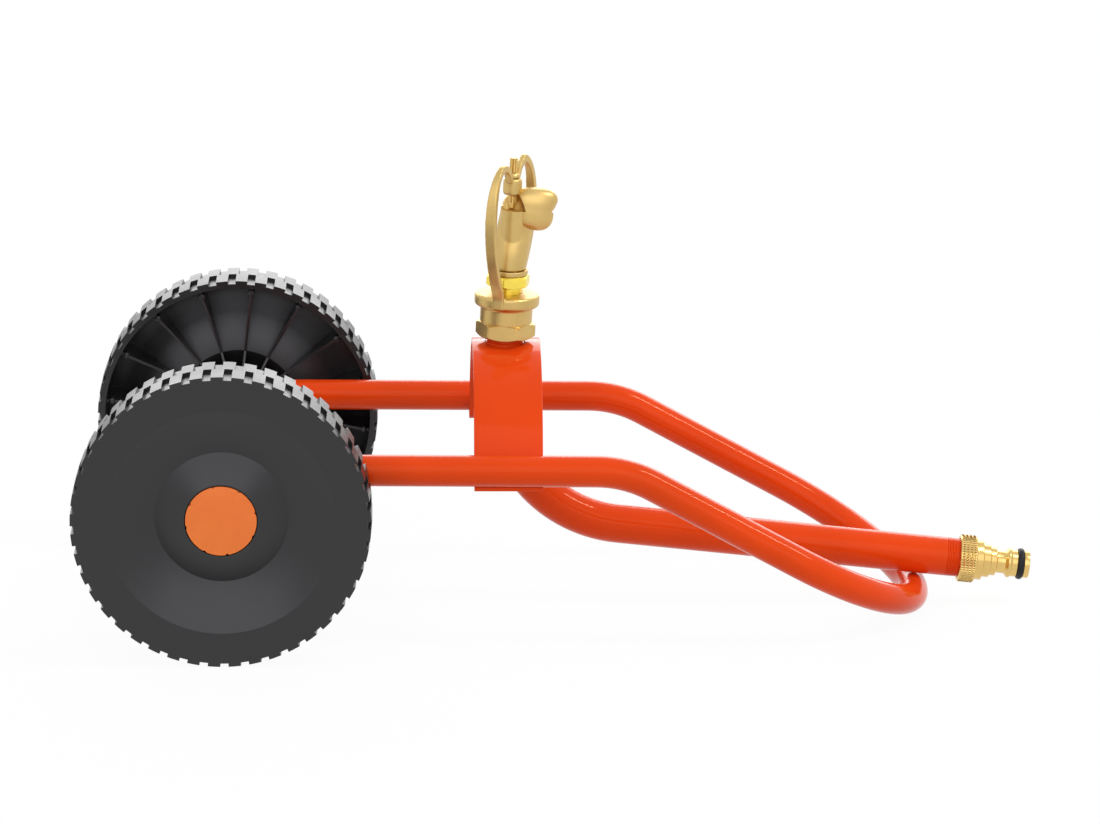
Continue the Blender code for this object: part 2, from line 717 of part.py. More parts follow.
def build_bracket(parent):
    """Flat strip rolled to a hoop between the arms, with feet turned out under them.

    It stands slightly askew: its left leg is a little further back than its right one.
    """
    half = STRIP_THICKNESS / 2
    radius = ARM_OFFSET - TUBE_RADIUS - BRACKET_LEG_GAP - half
    centre_z = arm_height() + BRACKET_RISE - half - radius
    foot_z = arm_height() - TUBE_RADIUS - GAP - half
    low_angle = math.asin((foot_z - centre_z) / radius)
    first_angle = math.asin((foot_z + BRACKET_FOOT_SHARE * BRACKET_FOOT_BEND - centre_z) / radius)
    hoop = []
    for k in range(BRACKET_STEPS + 1):
        a = first_angle + (math.pi - 2 * first_angle) * k / BRACKET_STEPS
        hoop.append(Vector((0, radius * math.cos(a), centre_z + radius * math.sin(a))))
    corner = Vector((0, radius * math.cos(low_angle), foot_z))
    toe = Vector((0, ARM_OFFSET + BRACKET_FOOT_REACH, foot_z))
    mirrored = Matrix.Diagonal((1, -1, 1))
    left = filleted_path([toe, corner, hoop[0]], [BRACKET_FOOT_BEND], BRACKET_FOOT_STEP)
    right = [mirrored @ point for point in reversed(left)]
    points = left + hoop[1:-1] + right
    frames = path_frames(points, Vector((1, 0, 0)))
    mid_x = head_x() + BRACKET_LEAD
    twist = Matrix.Rotation(BRACKET_TWIST, 3, 'Z')
    rings = []
    for point, _, side, other in frames:
        ring = []
        for across, out in ((-1, -1), (1, -1), (1, 1), (-1, 1)):
            offset = side * (across * STRIP_WIDTH / 2) + other * (out * half)
            ring.append(twist @ (point + offset) + Vector((mid_x, 0, 0)))
        rings.append(ring)
    bm = bmesh.new()
    loft(bm, rings)
    bracket = add_object("riser_bracket", bm, parent, red_paint(), 25)
    reach = HEAD_OVER_BRACKET + 4 * STRIP_THICKNESS
    hole = revolve_solid([(PIPE_RADIUS + HOLE_CLEARANCE, -reach), (PIPE_RADIUS + HOLE_CLEARANCE, 0)], ROUND)
    cutter = add_object("riser_hole", hole, parent, red_paint())
    cutter.location = head_point(0)
    cutter.rotation_euler = (0, HEAD_LEAN, 0)
    combine(bracket, cutter, 'DIFFERENCE')


def build_pipe(parent):
    """Riser, one bend and the straight run that lies on the nose."""
    top = head_point(SOCKET_DEPTH - GAP)
    up = head_direction()
    ahead = pipe_direction()
    over_nose = pipe_over_nose()
    # Where the riser's line meets the front run's line, in the X Z plane
    gap = over_nose - top
    along = (gap.x * up.z - gap.z * up.x) / (up.x * ahead.z - up.z * ahead.x)
    corner = over_nose + ahead * along
    points = filleted_path([top, corner, nipple_point(THREAD_DEPTH)], [PIPE_BEND_RADIUS])
    bm = hollow_tube(points, PIPE_RADIUS, PIPE_WALL, Vector((0, 1, 0)), PIPE_SIDES)
    add_object("supply_pipe", bm, parent, red_paint())


def build_nipple(parent):
    """Turned adaptor: knurled ring, steps, a locking groove, the seal's groove and a collar."""
    axis = frame_empty("nipple_axis", parent, nipple_point(0), (0, math.pi / 2 + PIPE_SLOPE, 0))
    shoulder = THREAD_DEPTH + INLET_WASHER + 2 * GAP
    chamfer = KNURL_CHAMFER
    groove_low = NIPPLE_STEPS[-1][0]
    groove_high = groove_low + ORING_GROOVE_WIDTH
    end = nipple_length()
    outline = [(SOCKET_RADIUS, 0), (KNURL_RADIUS - chamfer, 0), (KNURL_RADIUS, chamfer),
               (KNURL_RADIUS, KNURL_LENGTH - chamfer), (KNURL_RADIUS - chamfer, KNURL_LENGTH)]
    outline += [(radius, along) for along, radius in NIPPLE_STEPS]
    outline += [(ORING_GROOVE_RADIUS, groove_low), (ORING_GROOVE_RADIUS, groove_high),
                (NIPPLE_COLLAR_RADIUS, groove_high), (NIPPLE_COLLAR_RADIUS, end), (NIPPLE_BORE, end),
                (NIPPLE_BORE, shoulder), (SOCKET_RADIUS, shoulder)]
    add_object("hose_nipple", revolve(outline, MEDIUM), axis, turned_brass())
    half_wide = ORING_GROOVE_WIDTH / 2 - GAP
    half_high = (ORING_RADIUS - ORING_GROOVE_RADIUS - GAP) / 2
    centre = (groove_low + groove_high) / 2
    middle = ORING_RADIUS - half_high
    seal = [(middle + half_high * math.cos(a), centre + half_wide * math.sin(a))
            for a in (2 * math.pi * k / 8 for k in range(8))]
    add_object("nipple_seal", revolve(seal, MEDIUM), axis, black_rubber(), 60)
    washer = ring_profile(NIPPLE_BORE + 0.001, PIPE_RADIUS, shoulder - GAP - INLET_WASHER, shoulder - GAP)
    add_object("inlet_washer", revolve(washer, SMALL), axis, black_rubber())


def bail_direction(height):
    """Compass direction of the bail's front leg seen from above: it winds slightly as it rises."""
    share = min(1.0, max(0.0, (height - FLANGE_TOP) / (BAIL_PEAK / 2 - FLANGE_TOP)))
    turn = BAIL_FOOT_TURN + (BAIL_TURN - BAIL_FOOT_TURN) * share * share * (3 - 2 * share)
    return Vector((-math.sin(turn), -math.cos(turn), 0))


def bail_route():
    """Radius and height of one bail leg: out from the flange, over the peak, in to the boss."""
    spread, peak = BAIL_SPREAD, BAIL_PEAK
    return [(FLANGE_RADIUS - 0.0016, FLANGE_TOP - 0.0045), (FLANGE_RADIUS - 0.0008, FLANGE_TOP + 0.002),
            (spread - 0.0083, peak * 0.344), (spread - 0.0046, peak * 0.444),
            (spread - 0.0016, peak * 0.562), (spread, peak * 0.679),
            (spread + 0.0001, peak * 0.780), (spread - 0.0010, peak - 0.0150),
            (spread - 0.0036, peak - 0.0068), (spread - 0.0073, peak - 0.0018), (spread - 0.0110, peak),
            (spread - 0.0152, peak - 0.0010), (spread - 0.0195, peak - 0.0048),
            (BOSS_RADIUS + 0.0030, peak - 0.0098), (BOSS_RADIUS - 0.0015, peak - 0.0140)]


def bail_leg(side):
    """One leg as a rounded strap swept along its route."""
    route = bail_route()
    points = []
    for radius, height in route:
        points.append(bail_direction(height) * (side * radius) + Vector((0, 0, height)))
    frames = path_frames(points, Vector((0, 0, 1)).cross(bail_direction(route[0][1])))
    half_wide, half_thick, cut = BAIL_WIDTH / 2, BAIL_THICKNESS / 2, BAIL_EDGE_CUT
    corners = ((-1, -1), (1, -1), (1, 1), (-1, 1))
    rings = []
    for (point, tangent, _, _) in frames:
        flat = Vector((point.x, point.y, 0)).normalized()
        across = Vector((0, 0, 1)).cross(flat).normalized()
        out = tangent.cross(across).normalized()
        ring = []
        for a, b in corners:
            first = (a * half_wide, b * (half_thick - cut))
            second = (a * (half_wide - cut), b * half_thick)
            if a * b < 0:
                first, second = second, first
            ring += [point + across * first[0] + out * first[1],
                     point + across * second[0] + out * second[1]]
        rings.append(ring)
    bm = bmesh.new()
    loft(bm, rings)
    return bm


def build_sprinkler_frame(head):
    """One casting: hexagon, neck, flange, bail and bridge boss."""
    edge = FLANGE_ROUND
    outline = [(NECK_RADIUS, HEX_HEIGHT * 0.5), (NECK_RADIUS, NECK_TOP)]
    for low, start in ((NECK_TOP + edge, -90), (FLANGE_TOP - edge, 0)):
        for k in range(3):
            a = math.radians(start + 45 * k)
            outline.append((FLANGE_RADIUS - edge + edge * math.cos(a), low + edge * math.sin(a)))
    casting = add_object("sprinkler_frame", revolve_solid(outline), head, cast_brass(), 40)
    hexagonal = chamfered_hexagon(HEX_FLATS, 0.0, HEX_HEIGHT, HEX_TURN, HEX_CHAMFER)
    combine(casting, add_object("hexagon_part", hexagonal, head, cast_brass()), 'UNION')
    boss = revolve_solid([(BOSS_RADIUS - BOSS_ROUND, BOSS_LOW), (BOSS_RADIUS, BOSS_LOW + BOSS_ROUND),
                          (BOSS_RADIUS, BOSS_TOP - BOSS_CHAMFER), (BOSS_RADIUS - BOSS_CHAMFER, BOSS_TOP)],
                         MEDIUM)
    combine(casting, add_object("boss_part", boss, head, cast_brass()), 'UNION')
    for side, name in ((1, "bail_front_part"), (-1, "bail_rear_part")):
        combine(casting, add_object(name, bail_leg(side), head, cast_brass()), 'UNION')
    bore = BEARING_NECK_RADIUS + GAP
    well = revolve_solid([(SOCKET_RADIUS, -CUT_SPARE), (SOCKET_RADIUS, SOCKET_DEPTH), (bore, SOCKET_DEPTH),
                          (bore, FLANGE_TOP + CUT_SPARE)])
    combine(casting, add_object("socket_cut", well, head, cast_brass()), 'DIFFERENCE')
    drill = revolve_solid([(SCREW_BORE, BOSS_LOW - CUT_SPARE), (SCREW_BORE, BOSS_TOP + CUT_SPARE)], SMALL)
    combine(casting, add_object("screw_bore_cut", drill, head, cast_brass()), 'DIFFERENCE')


def chamfered_hexagon(flats, low, high, turn, chamfer):
    """Hexagonal prism whose corners are turned down at both ends."""
    bm = bmesh.new()
    count = 24
    rings = []
    for level, turned_down in ((low, True), (low + chamfer, False), (high - chamfer, False), (high, True)):
        ring = []
        for k in range(count):
            a = 2 * math.pi * k / count
            within = (a + math.pi / 6) % (math.pi / 3) - math.pi / 6
            radius = flats / 2 / math.cos(math.pi / 6 - abs(within))
            if turned_down:
                radius = flats / 2
            ring.append((radius * math.cos(a + turn), radius * math.sin(a + turn), level))
        rings.append(ring)
    loft(bm, rings)
    return bm


def build_bearing(head):
    """Bearing nut, seal and thrust ring around the spindle."""
    bore = SPINDLE_RADIUS + GAP
    hex_low, hex_high = BEARING_HEX_LOW, BEARING_HEX_LOW + BEARING_HEX_HEIGHT
    neck = revolve_solid([(BEARING_NECK_RADIUS, BEARING_NECK_LOW),
                          (BEARING_NECK_RADIUS, hex_low + CUT_SPARE)])
    nut = add_object("bearing_nut", neck, head, turned_brass())
    hexagonal = chamfered_hexagon(BEARING_HEX_FLATS, hex_low, hex_high, BEARING_HEX_TURN,
                                  BEARING_HEX_CHAMFER)
    combine(nut, add_object("nut_hexagon_part", hexagonal, head, turned_brass()), 'UNION')
    drill = revolve_solid([(bore, BEARING_NECK_LOW - CUT_SPARE), (bore, hex_high + CUT_SPARE)])
    combine(nut, add_object("nut_bore_cut", drill, head, turned_brass()), 'DIFFERENCE')
    seal_high = BEARING_NECK_LOW - GAP
    seal = ring_profile(bore, SPINDLE_COLLAR_RADIUS, seal_high - SEAL_THICKNESS, seal_high)
    add_object("spindle_seal", revolve(seal, SMALL), head, white_nylon())


def build_rotor(head):
    """Spindle, thrust ring and the cast body, which turn together about the head's axis."""
    collar_high = BEARING_NECK_LOW - 2 * GAP - SEAL_THICKNESS
    collar_low = collar_high - SPINDLE_COLLAR
    inner = SPINDLE_RADIUS - SPINDLE_WALL
    spindle = [(inner, collar_low), (SPINDLE_COLLAR_RADIUS, collar_low),
               (SPINDLE_COLLAR_RADIUS, collar_high),
               (SPINDLE_RADIUS, collar_high), (SPINDLE_RADIUS, SPINDLE_TOP), (inner, SPINDLE_TOP)]
    add_object("rotor_spindle", revolve(spindle, MEDIUM), head, turned_brass())
    ring_high = RING_LOW + RING_HEIGHT
    bore = SPINDLE_RADIUS + GAP
    ring = [(bore, RING_LOW), (RING_RADIUS, RING_LOW), (RING_RADIUS, ring_high - RING_CHAMFER),
            (RING_RADIUS - RING_CHAMFER, ring_high), (bore, ring_high)]
    add_object("thrust_ring", revolve(ring), head, cast_brass())
    build_rotor_body(head)


def oval_ring(centre, half_x, half_y, count=16):
    return [centre + Vector((half_x * math.cos(a), half_y * math.sin(a), 0))
            for a in (2 * math.pi * k / count for k in range(count))]


def rotor_column():
    """Height, centre x, centre y and half widths of the column, from its foot up past the ledge."""
    low, ledge = ROTOR_LOW, LEDGE_HEIGHT
    rise = ledge - low
    return [(low, 0.0, 0.0, ROTOR_RADIUS, ROTOR_RADIUS),
            (low + 0.002, 0.0002, 0.0, ROTOR_RADIUS + 0.0003, ROTOR_RADIUS + 0.0001),
            (low + rise * 0.265, 0.0014, 0.0008, 0.0122, 0.0111),
            (low + rise * 0.458, 0.0022, 0.0015, 0.0123, 0.0107),
            (low + rise * 0.651, 0.0030, 0.0024, 0.0124, 0.0098),
            (low + rise * 0.843, 0.0040, 0.0032, 0.0121, 0.0094),
            (ledge, 0.0048, 0.0038, 0.0118, 0.0092), (ledge + 0.0060, 0.0064, 0.0044, 0.0114, 0.0086),
            (ledge + 0.0100, 0.0088, 0.0050, 0.0104, 0.0070),
            (ledge + 0.0124, 0.0108, 0.0054, 0.0080, 0.0048)]


def build_rotor_body(head):
    """Cast head: tapering column, pivot boss in front, snout with a slot mouth to the side."""
    low, ledge = ROTOR_LOW, LEDGE_HEIGHT
    bm = bmesh.new()
    loft(bm, [oval_ring(Vector((x, y, z)), rx, ry) for z, x, y, rx, ry in rotor_column()])
    body = add_object("rotor_body", bm, head, cast_brass(), 50)
    boss = revolve_solid([(PIVOT_BOSS_RADIUS, SPINDLE_TOP),
                          (PIVOT_BOSS_RADIUS, ledge + 2 * CUT_SPARE)], WHEEL_SIDES)
    boss = add_object("pivot_boss_part", boss, head, cast_brass())
    boss.location.x = PIVOT_BOSS_X
    combine(body, boss, 'UNION')
    combine(body, add_object("snout_part", snout_mesh(), head, cast_brass(), 50), 'UNION')
    pocket = revolve_solid([(POCKET_RADIUS, ledge), (POCKET_RADIUS, ledge + 0.03)], 24)
    pocket = add_object("pocket_round", pocket, head, cast_brass())
    pocket.location.x = PIVOT_BOSS_X
    combine(body, pocket, 'DIFFERENCE')
    front = box((2 * POCKET_RADIUS + 0.008, 0.03, 0.03), (PIVOT_BOSS_X - 0.004, -0.015, ledge + 0.015))
    combine(body, add_object("pocket_front", front, head, cast_brass()), 'DIFFERENCE')
    socket = SPINDLE_RADIUS + GAP
    duct_top = MOUTH_HEIGHT - 0.011
    duct = revolve_solid([(socket, low - CUT_SPARE), (socket, SPINDLE_TOP + GAP),
                          (DUCT_RADIUS, SPINDLE_TOP + GAP), (DUCT_RADIUS, duct_top)], MEDIUM)
    combine(body, add_object("duct_cut", duct, head, cast_brass()), 'DIFFERENCE')
    rise = math.atan2(MOUTH_HEIGHT - duct_top + 0.003, SNOUT_REACH)
    length = SNOUT_REACH * 1.25
    centre = Vector((length / 2 * math.cos(rise), 0, duct_top - 0.003 + length / 2 * math.sin(rise)))
    mouth = box((length, 2 * MOUTH_HALF_WIDTH, MOUTH_GAP), centre, Matrix.Rotation(-rise, 4, 'Y'))
    combine(body, add_object("mouth_cut", mouth, head, cast_brass()), 'DIFFERENCE')


def snout_mesh():
    """Snout lofted sideways: oval sections that pinch to two lips at the mouth."""
    reach = SNOUT_REACH
    pinched = SNOUT_PINCH
    sections = [(-0.001, 0.0095, 0.0100, 0.0080, 0.0), (0.006, 0.0128, 0.0128, 0.0096, 0.0),
                (0.012, 0.0145, 0.0146, 0.0106, 0.1 * pinched),
                (0.019, 0.0152, 0.0146, 0.0110, 0.2 * pinched),
                (reach - 0.0068, 0.0145, 0.0128, 0.0102, 0.4 * pinched),
                (reach - 0.0030, 0.0126, 0.0100, 0.0084, 0.7 * pinched),
                (reach - 0.0008, 0.0100, 0.0074, 0.0056, 0.95 * pinched),
                (reach, 0.0078, 0.0052, 0.0032, pinched)]
    bm = bmesh.new()
    rings = []
    count = 18
    for x, up, down, wide, pinch in sections:
        ring = []
        for k in range(count):
            a = 2 * math.pi * k / count
            rise = up if math.sin(a) > 0 else down
            waist = 1 - pinch * (1 - abs(math.sin(a))) ** 2
            notch = pinch * 0.009 * (1 - abs(math.sin(a))) ** 2
            notch += LOWER_LIP_BACK * pinch / SNOUT_PINCH * (1 - math.sin(a)) / 2
            ring.append(Vector((x - notch, 0.0012 + wide * waist * math.cos(a),
                                MOUTH_HEIGHT - 0.0008 + rise * math.sin(a))))
        rings.append(ring)
    loft(bm, rings)
    return bm


def build_adjuster(head):
    """Lock collar on the boss, fluted screw through it and the pivot bush under it."""
    collar_low = BOSS_TOP + GAP
    collar_high = collar_low + LOCK_COLLAR_HEIGHT
    bore = SCREW_SHANK_RADIUS + GAP
    chamfer = LOCK_COLLAR_CHAMFER
    collar = [(bore, collar_low), (LOCK_COLLAR_RADIUS, collar_low),
              (LOCK_COLLAR_RADIUS, collar_high - chamfer),
              (LOCK_COLLAR_RADIUS - chamfer, collar_high), (bore, collar_high)]
    add_object("screw_collar", revolve(collar, SMALL), head, cast_brass())
    head_low = collar_high + GAP
    head_high = head_low + SCREW_HEAD_HEIGHT
    bush_high = BOSS_LOW - PIVOT_BUSH_TOP_GAP
    screw = prism(fluted_circle(SCREW_HEAD_RADIUS), head_low, head_high)
    screw = add_object("adjusting_screw", screw, head, turned_brass(), 20)
    shank = revolve_solid([(SCREW_SHANK_RADIUS, bush_high - SCREW_GRIP),
                           (SCREW_SHANK_RADIUS, head_low + CUT_SPARE)], SMALL)
    combine(screw, add_object("shank_part", shank, head, turned_brass()), 'UNION')
    bush_low = bush_high - PIVOT_BUSH_HEIGHT
    bush = prism(fluted_circle(PIVOT_BUSH_RADIUS), bush_low, bush_high)
    bush = add_object("pivot_bush", bush, head, turned_brass(), 20)
    tip_low = LEDGE_HEIGHT + GAP
    tip = revolve_solid([(PIVOT_TIP_RADIUS * 0.6, tip_low), (PIVOT_TIP_RADIUS, tip_low + PIVOT_TIP_CHAMFER),
                         (PIVOT_TIP_RADIUS, bush_low + CUT_SPARE)], SMALL)
    combine(bush, add_object("tip_part", tip, head, turned_brass()), 'UNION')
    grip = bush_high - SCREW_GRIP - GAP
    bore = SCREW_SHANK_RADIUS + GAP
    drill = revolve_solid([(bore, grip), (bore, bush_high + CUT_SPARE)], SMALL)
    combine(bush, add_object("grip_cut", drill, head, turned_brass()), 'DIFFERENCE')


def main():
    for old in list(bpy.data.objects):
        bpy.data.objects.remove(old, do_unlink=True)
    sled = frame_empty("sled", None, (sled_shift(), 0, 0))
    build_frame_tube(sled)
    for word, y in (("left", ARM_OFFSET), ("right", -ARM_OFFSET)):
        build_tube_end_plug(word, y, sled)
    build_axle(sled)
    for side in (1, -1):
        build_axle_end(side, sled)
    build_bracket(sled)
    build_pipe(sled)
    build_nipple(sled)
    head = frame_empty("head_axis", sled, head_point(0), (0, HEAD_LEAN, 0))
    build_sprinkler_frame(head)
    build_bearing(head)
    build_rotor(head)
    build_adjuster(head)
    bpy.context.view_layer.update()


main()
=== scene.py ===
"""Sprinkler sled: the fine pieces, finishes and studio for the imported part.

Metres, +Z up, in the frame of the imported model. +X runs from the wheels to the hose end.
"""
import json
import math

import bmesh
import bpy
from bpy.props import FloatProperty, FloatVectorProperty, IntProperty, PointerProperty
from mathutils import Matrix, Vector

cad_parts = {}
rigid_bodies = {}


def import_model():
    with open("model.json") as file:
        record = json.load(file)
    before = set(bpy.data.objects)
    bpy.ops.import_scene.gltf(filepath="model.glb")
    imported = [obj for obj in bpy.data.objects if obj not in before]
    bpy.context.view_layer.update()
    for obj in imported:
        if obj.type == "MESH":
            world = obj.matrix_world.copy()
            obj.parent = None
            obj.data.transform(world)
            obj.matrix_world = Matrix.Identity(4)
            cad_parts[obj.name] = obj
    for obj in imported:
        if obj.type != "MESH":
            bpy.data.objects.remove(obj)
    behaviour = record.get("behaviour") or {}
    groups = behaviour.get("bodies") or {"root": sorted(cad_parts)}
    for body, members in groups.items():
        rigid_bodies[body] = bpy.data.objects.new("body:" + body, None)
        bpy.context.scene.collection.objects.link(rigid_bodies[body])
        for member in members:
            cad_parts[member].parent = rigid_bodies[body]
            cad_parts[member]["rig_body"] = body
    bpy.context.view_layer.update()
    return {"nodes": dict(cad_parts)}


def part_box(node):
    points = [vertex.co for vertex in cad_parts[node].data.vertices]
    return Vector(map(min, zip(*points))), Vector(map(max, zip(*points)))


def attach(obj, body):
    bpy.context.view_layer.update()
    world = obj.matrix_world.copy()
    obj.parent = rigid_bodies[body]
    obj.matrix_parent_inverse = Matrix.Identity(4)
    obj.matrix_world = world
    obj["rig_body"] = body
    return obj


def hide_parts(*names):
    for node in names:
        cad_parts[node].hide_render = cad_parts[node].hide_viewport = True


bl_info = {
    "name": "Sprinkler Sled",
    "version": (1, 0, 0),
    "blender": (4, 5, 0),
    "location": "3D View > Sidebar > Sled",
    "description": "Builds the fine pieces, finishes and studio of a sprinkler sled",
    "category": "Object",
}

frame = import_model()

X_AXIS = Vector((1, 0, 0))
Y_AXIS = Vector((0, 1, 0))
Z_AXIS = Vector((0, 0, 1))


def box_middle(node):
    low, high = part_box(node)
    return (low + high) / 2


AXLE = box_middle("axle_rod")

# Sizes that several pieces share
GAP = 0.0003
ROD_BORE = 0.0063
LUG_HEIGHT = 0.0025
HUB_FLOOR = 0.0170
RING_REAR = 0.0287
FLANGE_TOP = 0.0298
HEAD_AHEAD = 0.1892
HEAD_OVER_BRACKET = 0.00455
SOCKET_BORE = [(0.01375, -0.002), (0.01375, 0.0140), (0.0098, 0.0140), (0.0098, 0.0320)]

# An outline's corners are rounded where they turn more than this
SHARP_TURN = math.radians(28)


def length(name, description, default):
    return FloatProperty(name=name, description=description, default=default, unit='LENGTH', precision=5)


def slant(name, description, degrees):
    return FloatProperty(name=name, description=description, default=math.radians(degrees), unit='ROTATION')


def colour(name, description, default):
    return FloatVectorProperty(name=name, description=description, subtype='COLOR', size=3, default=default)


class SledSizes(bpy.types.PropertyGroup):
    """Sizes of the visible pieces"""
    tube_radius: length("Tube Radius", "Outside radius of the bent frame tube", 0.01065)
    arm_offset: length("Arm Offset", "From the middle of the sled to the middle of one arm", 0.1005)
    arm_rise: length("Arm Rise", "Height of the level arms above the axle", 0.02095)
    arm_rear: length("Arm Rear", "How far the arms run past the axle to the rear", 0.0120)
    arm_length: length("Arm Length", "From the axle to where the arms bend down", 0.2500)
    arm_bend: length("Arm Bend", "Radius of the bend at the front of each arm", 0.0810)
    arm_slope: slant("Arm Slope", "Slope of the arms down to the nose", 28.34)
    nose_radius: length("Nose Radius", "Radius of the nose's two corners", 0.1000)
    pipe_radius: length("Pipe Radius", "Outside radius of the water pipe", 0.01345)
    pipe_slope: slant("Pipe Slope", "Slope of the pipe's straight front run", 5.64)
    pipe_bend: length("Pipe Bend", "Radius of the bend at the foot of the riser", 0.0900)
    strip_width: length("Strip Width", "Width of the riser bracket's flat strip", 0.0466)
    strip_thickness: length("Strip Thickness", "Thickness of the riser bracket's flat strip", 0.0030)
    bracket_rise: length("Bracket Rise", "From the arms' middle line to the top of the bracket", 0.0651)
    wheel_radius: length("Wheel Radius", "Radius over the lugs in the middle of the tread", 0.1000)
    wheel_width: length("Wheel Width", "Width of the wheel over its tread", 0.0416)
    lug_count: IntProperty(
        name="Lug Count", description="Lugs in each of the tread's two staggered rows", default=45)
    rib_count: IntProperty(
        name="Rib Count", description="Ribs on the wheel's inner side", default=16)
    head_lean: slant("Head Lean", "How far the riser and the head lean forwards", 2.3)


class SledColours(bpy.types.PropertyGroup):
    """Colours of the finishes"""
    enamel: colour("Enamel", "Orange-red powder coat on all steel tubes", (0.790, 0.060, 0.005))
    moulding: colour("Moulding", "Black plastic of the wheels", (0.010, 0.010, 0.010))
    cap: colour("Cap", "Orange plastic of the hub caps", (1.000, 0.215, 0.030))
    cast: colour("Cast Brass", "Satin brass as it comes from the mould", (0.640, 0.450, 0.165))
    turned: colour("Turned Brass", "Brass fresh from the lathe", (0.720, 0.490, 0.170))
    polished: colour("Polished Brass", "Bright yellow brass of the bearing nut", (0.950, 0.740, 0.110))
    floor: colour("Floor", "Paper floor of the studio", (0.80, 0.80, 0.80))


def sizes():
    return bpy.context.scene.sled_sizes


def colours():
    return bpy.context.scene.sled_colours


def direction_down(slope):
    """Forward direction that falls by the slope."""
    return Vector((math.cos(slope), 0, -math.sin(slope)))


def arm_level():
    return AXLE.z + sizes().arm_rise


def slope_corner():
    """Where the level line of an arm meets its sloping line, seen from the side."""
    s = sizes()
    return AXLE.x + s.arm_length + s.arm_bend * math.tan(s.arm_slope / 2)


def nose_tip():
    """Middle of the tube at the very front, where it lies on the ground."""
    s = sizes()
    drop = arm_level() - s.tube_radius
    return Vector((slope_corner() + drop / math.tan(s.arm_slope), 0, s.tube_radius))


def pipe_line(along):
    """Point on the pipe's front run, measured from the point straight over the nose."""
    s = sizes()
    normal = Vector((math.sin(s.pipe_slope), 0, math.cos(s.pipe_slope)))
    over = nose_tip() + normal * (s.tube_radius + GAP + s.pipe_radius)
    return over + direction_down(s.pipe_slope) * along


def nipple_place():
    """Z runs along the pipe, with zero at the knurled ring's rear face."""
    turn = Matrix.Rotation(math.pi / 2 + sizes().pipe_slope, 4, 'Y')
    return Matrix.Translation(pipe_line(RING_REAR)) @ turn


def head_place():
    """Z runs up the sprinkler head, with zero at the hexagon's lower face."""
    seat = Vector((AXLE.x + HEAD_AHEAD, 0, arm_level() + sizes().bracket_rise + HEAD_OVER_BRACKET))
    return Matrix.Translation(seat) @ Matrix.Rotation(sizes().head_lean, 4, 'Y')


def wheel_place(side, phase):
    """Z points out of the wheel's outer face, with zero on that face."""
    outer_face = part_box("wheel_left")[1].y
    centre = Vector((AXLE.x, side * outer_face, AXLE.z))
    turn = Matrix.Rotation(-side * math.pi / 2, 4, 'X') @ Matrix.Rotation(phase, 4, 'Z')
    return Matrix.Translation(centre) @ turn


def axle_place():
    return Matrix.Translation(AXLE) @ Matrix.Rotation(-math.pi / 2, 4, 'X')


def facing(direction, at):
    """Place whose Z axis points along the direction."""
    return Matrix.Translation(at) @ direction.to_track_quat('Z', 'Y').to_matrix().to_4x4()


def about(point, change):
    """The change carried out round a point, not round the origin."""
    return Matrix.Translation(point) @ change @ Matrix.Translation(-point)


def only(geometry, kind):
    return [part for part in geometry if isinstance(part, kind)]


def face_outward(bm):
    bmesh.ops.recalc_face_normals(bm, faces=bm.faces[:])


def draw_outline(bm, outline, closed):
    """Points and edges of an outline of (radius, height). Returns the points."""
    points = [bm.verts.new((radius, 0, height)) for radius, height in outline]
    for pair in zip(points, points[1:] + points[:1] if closed else points[1:]):
        bm.edges.new(pair)
    return points


def spin_round(bm, steps):
    """Spin the outline in bm once round Z."""
    bmesh.ops.spin(bm, geom=bm.verts[:] + bm.edges[:], cent=(0, 0, 0), axis=(0, 0, 1),
                   angle=2 * math.pi, steps=steps, use_merge=True)


def rounded(bm, geometry, offset, segments, kind='EDGES'):
    bmesh.ops.bevel(bm, geom=geometry, offset=offset, offset_type='OFFSET', segments=segments,
                    profile=0.5, affect=kind, clamp_overlap=True, material=-1)


def disc(bm, radius, place, sides=48):
    """A round face to draw out into a rod or tube. Returns it as a list."""
    made = bmesh.ops.create_circle(bm, cap_ends=True, segments=sides, radius=radius, matrix=place)
    return list({face for vert in made["verts"] for face in vert.link_faces})


def drop_inside(bm, end):
    """Take out end faces that stayed inside the body where it was carried on."""
    left = [face for face in end if face.is_valid and all(len(edge.link_faces) > 2 for edge in face.edges)]
    if left:
        bmesh.ops.delete(bm, geom=left, context='FACES_ONLY')


def draw_out(bm, end, step):
    """Extrude end faces and carry them on by a move or a matrix. Returns the new end."""
    made = bmesh.ops.extrude_face_region(bm, geom=end)["geom"]
    drop_inside(bm, end)
    verts = only(made, bmesh.types.BMVert)
    if isinstance(step, Matrix):
        bmesh.ops.transform(bm, matrix=step, verts=verts)
    else:
        bmesh.ops.translate(bm, vec=step, verts=verts)
    return only(made, bmesh.types.BMFace)


def bend_on(bm, end, centre, axis, angle, step=math.radians(3)):
    """Carry end faces round a bend. Returns the new end."""
    geometry = list(end)
    for face in end:
        geometry += list(face.edges) + list(face.verts)
    count = max(2, round(abs(angle) / step))
    made = bmesh.ops.spin(bm, geom=list(set(geometry)), cent=centre, axis=axis, angle=angle, steps=count)
    drop_inside(bm, end)
    return only(made["geom_last"], bmesh.types.BMFace)


def corner_angle(before, here, after):
    """How sharply an outline turns at a point."""
    a = Vector(here) - Vector(before)
    b = Vector(after) - Vector(here)
    return a.angle(b, 0.0)


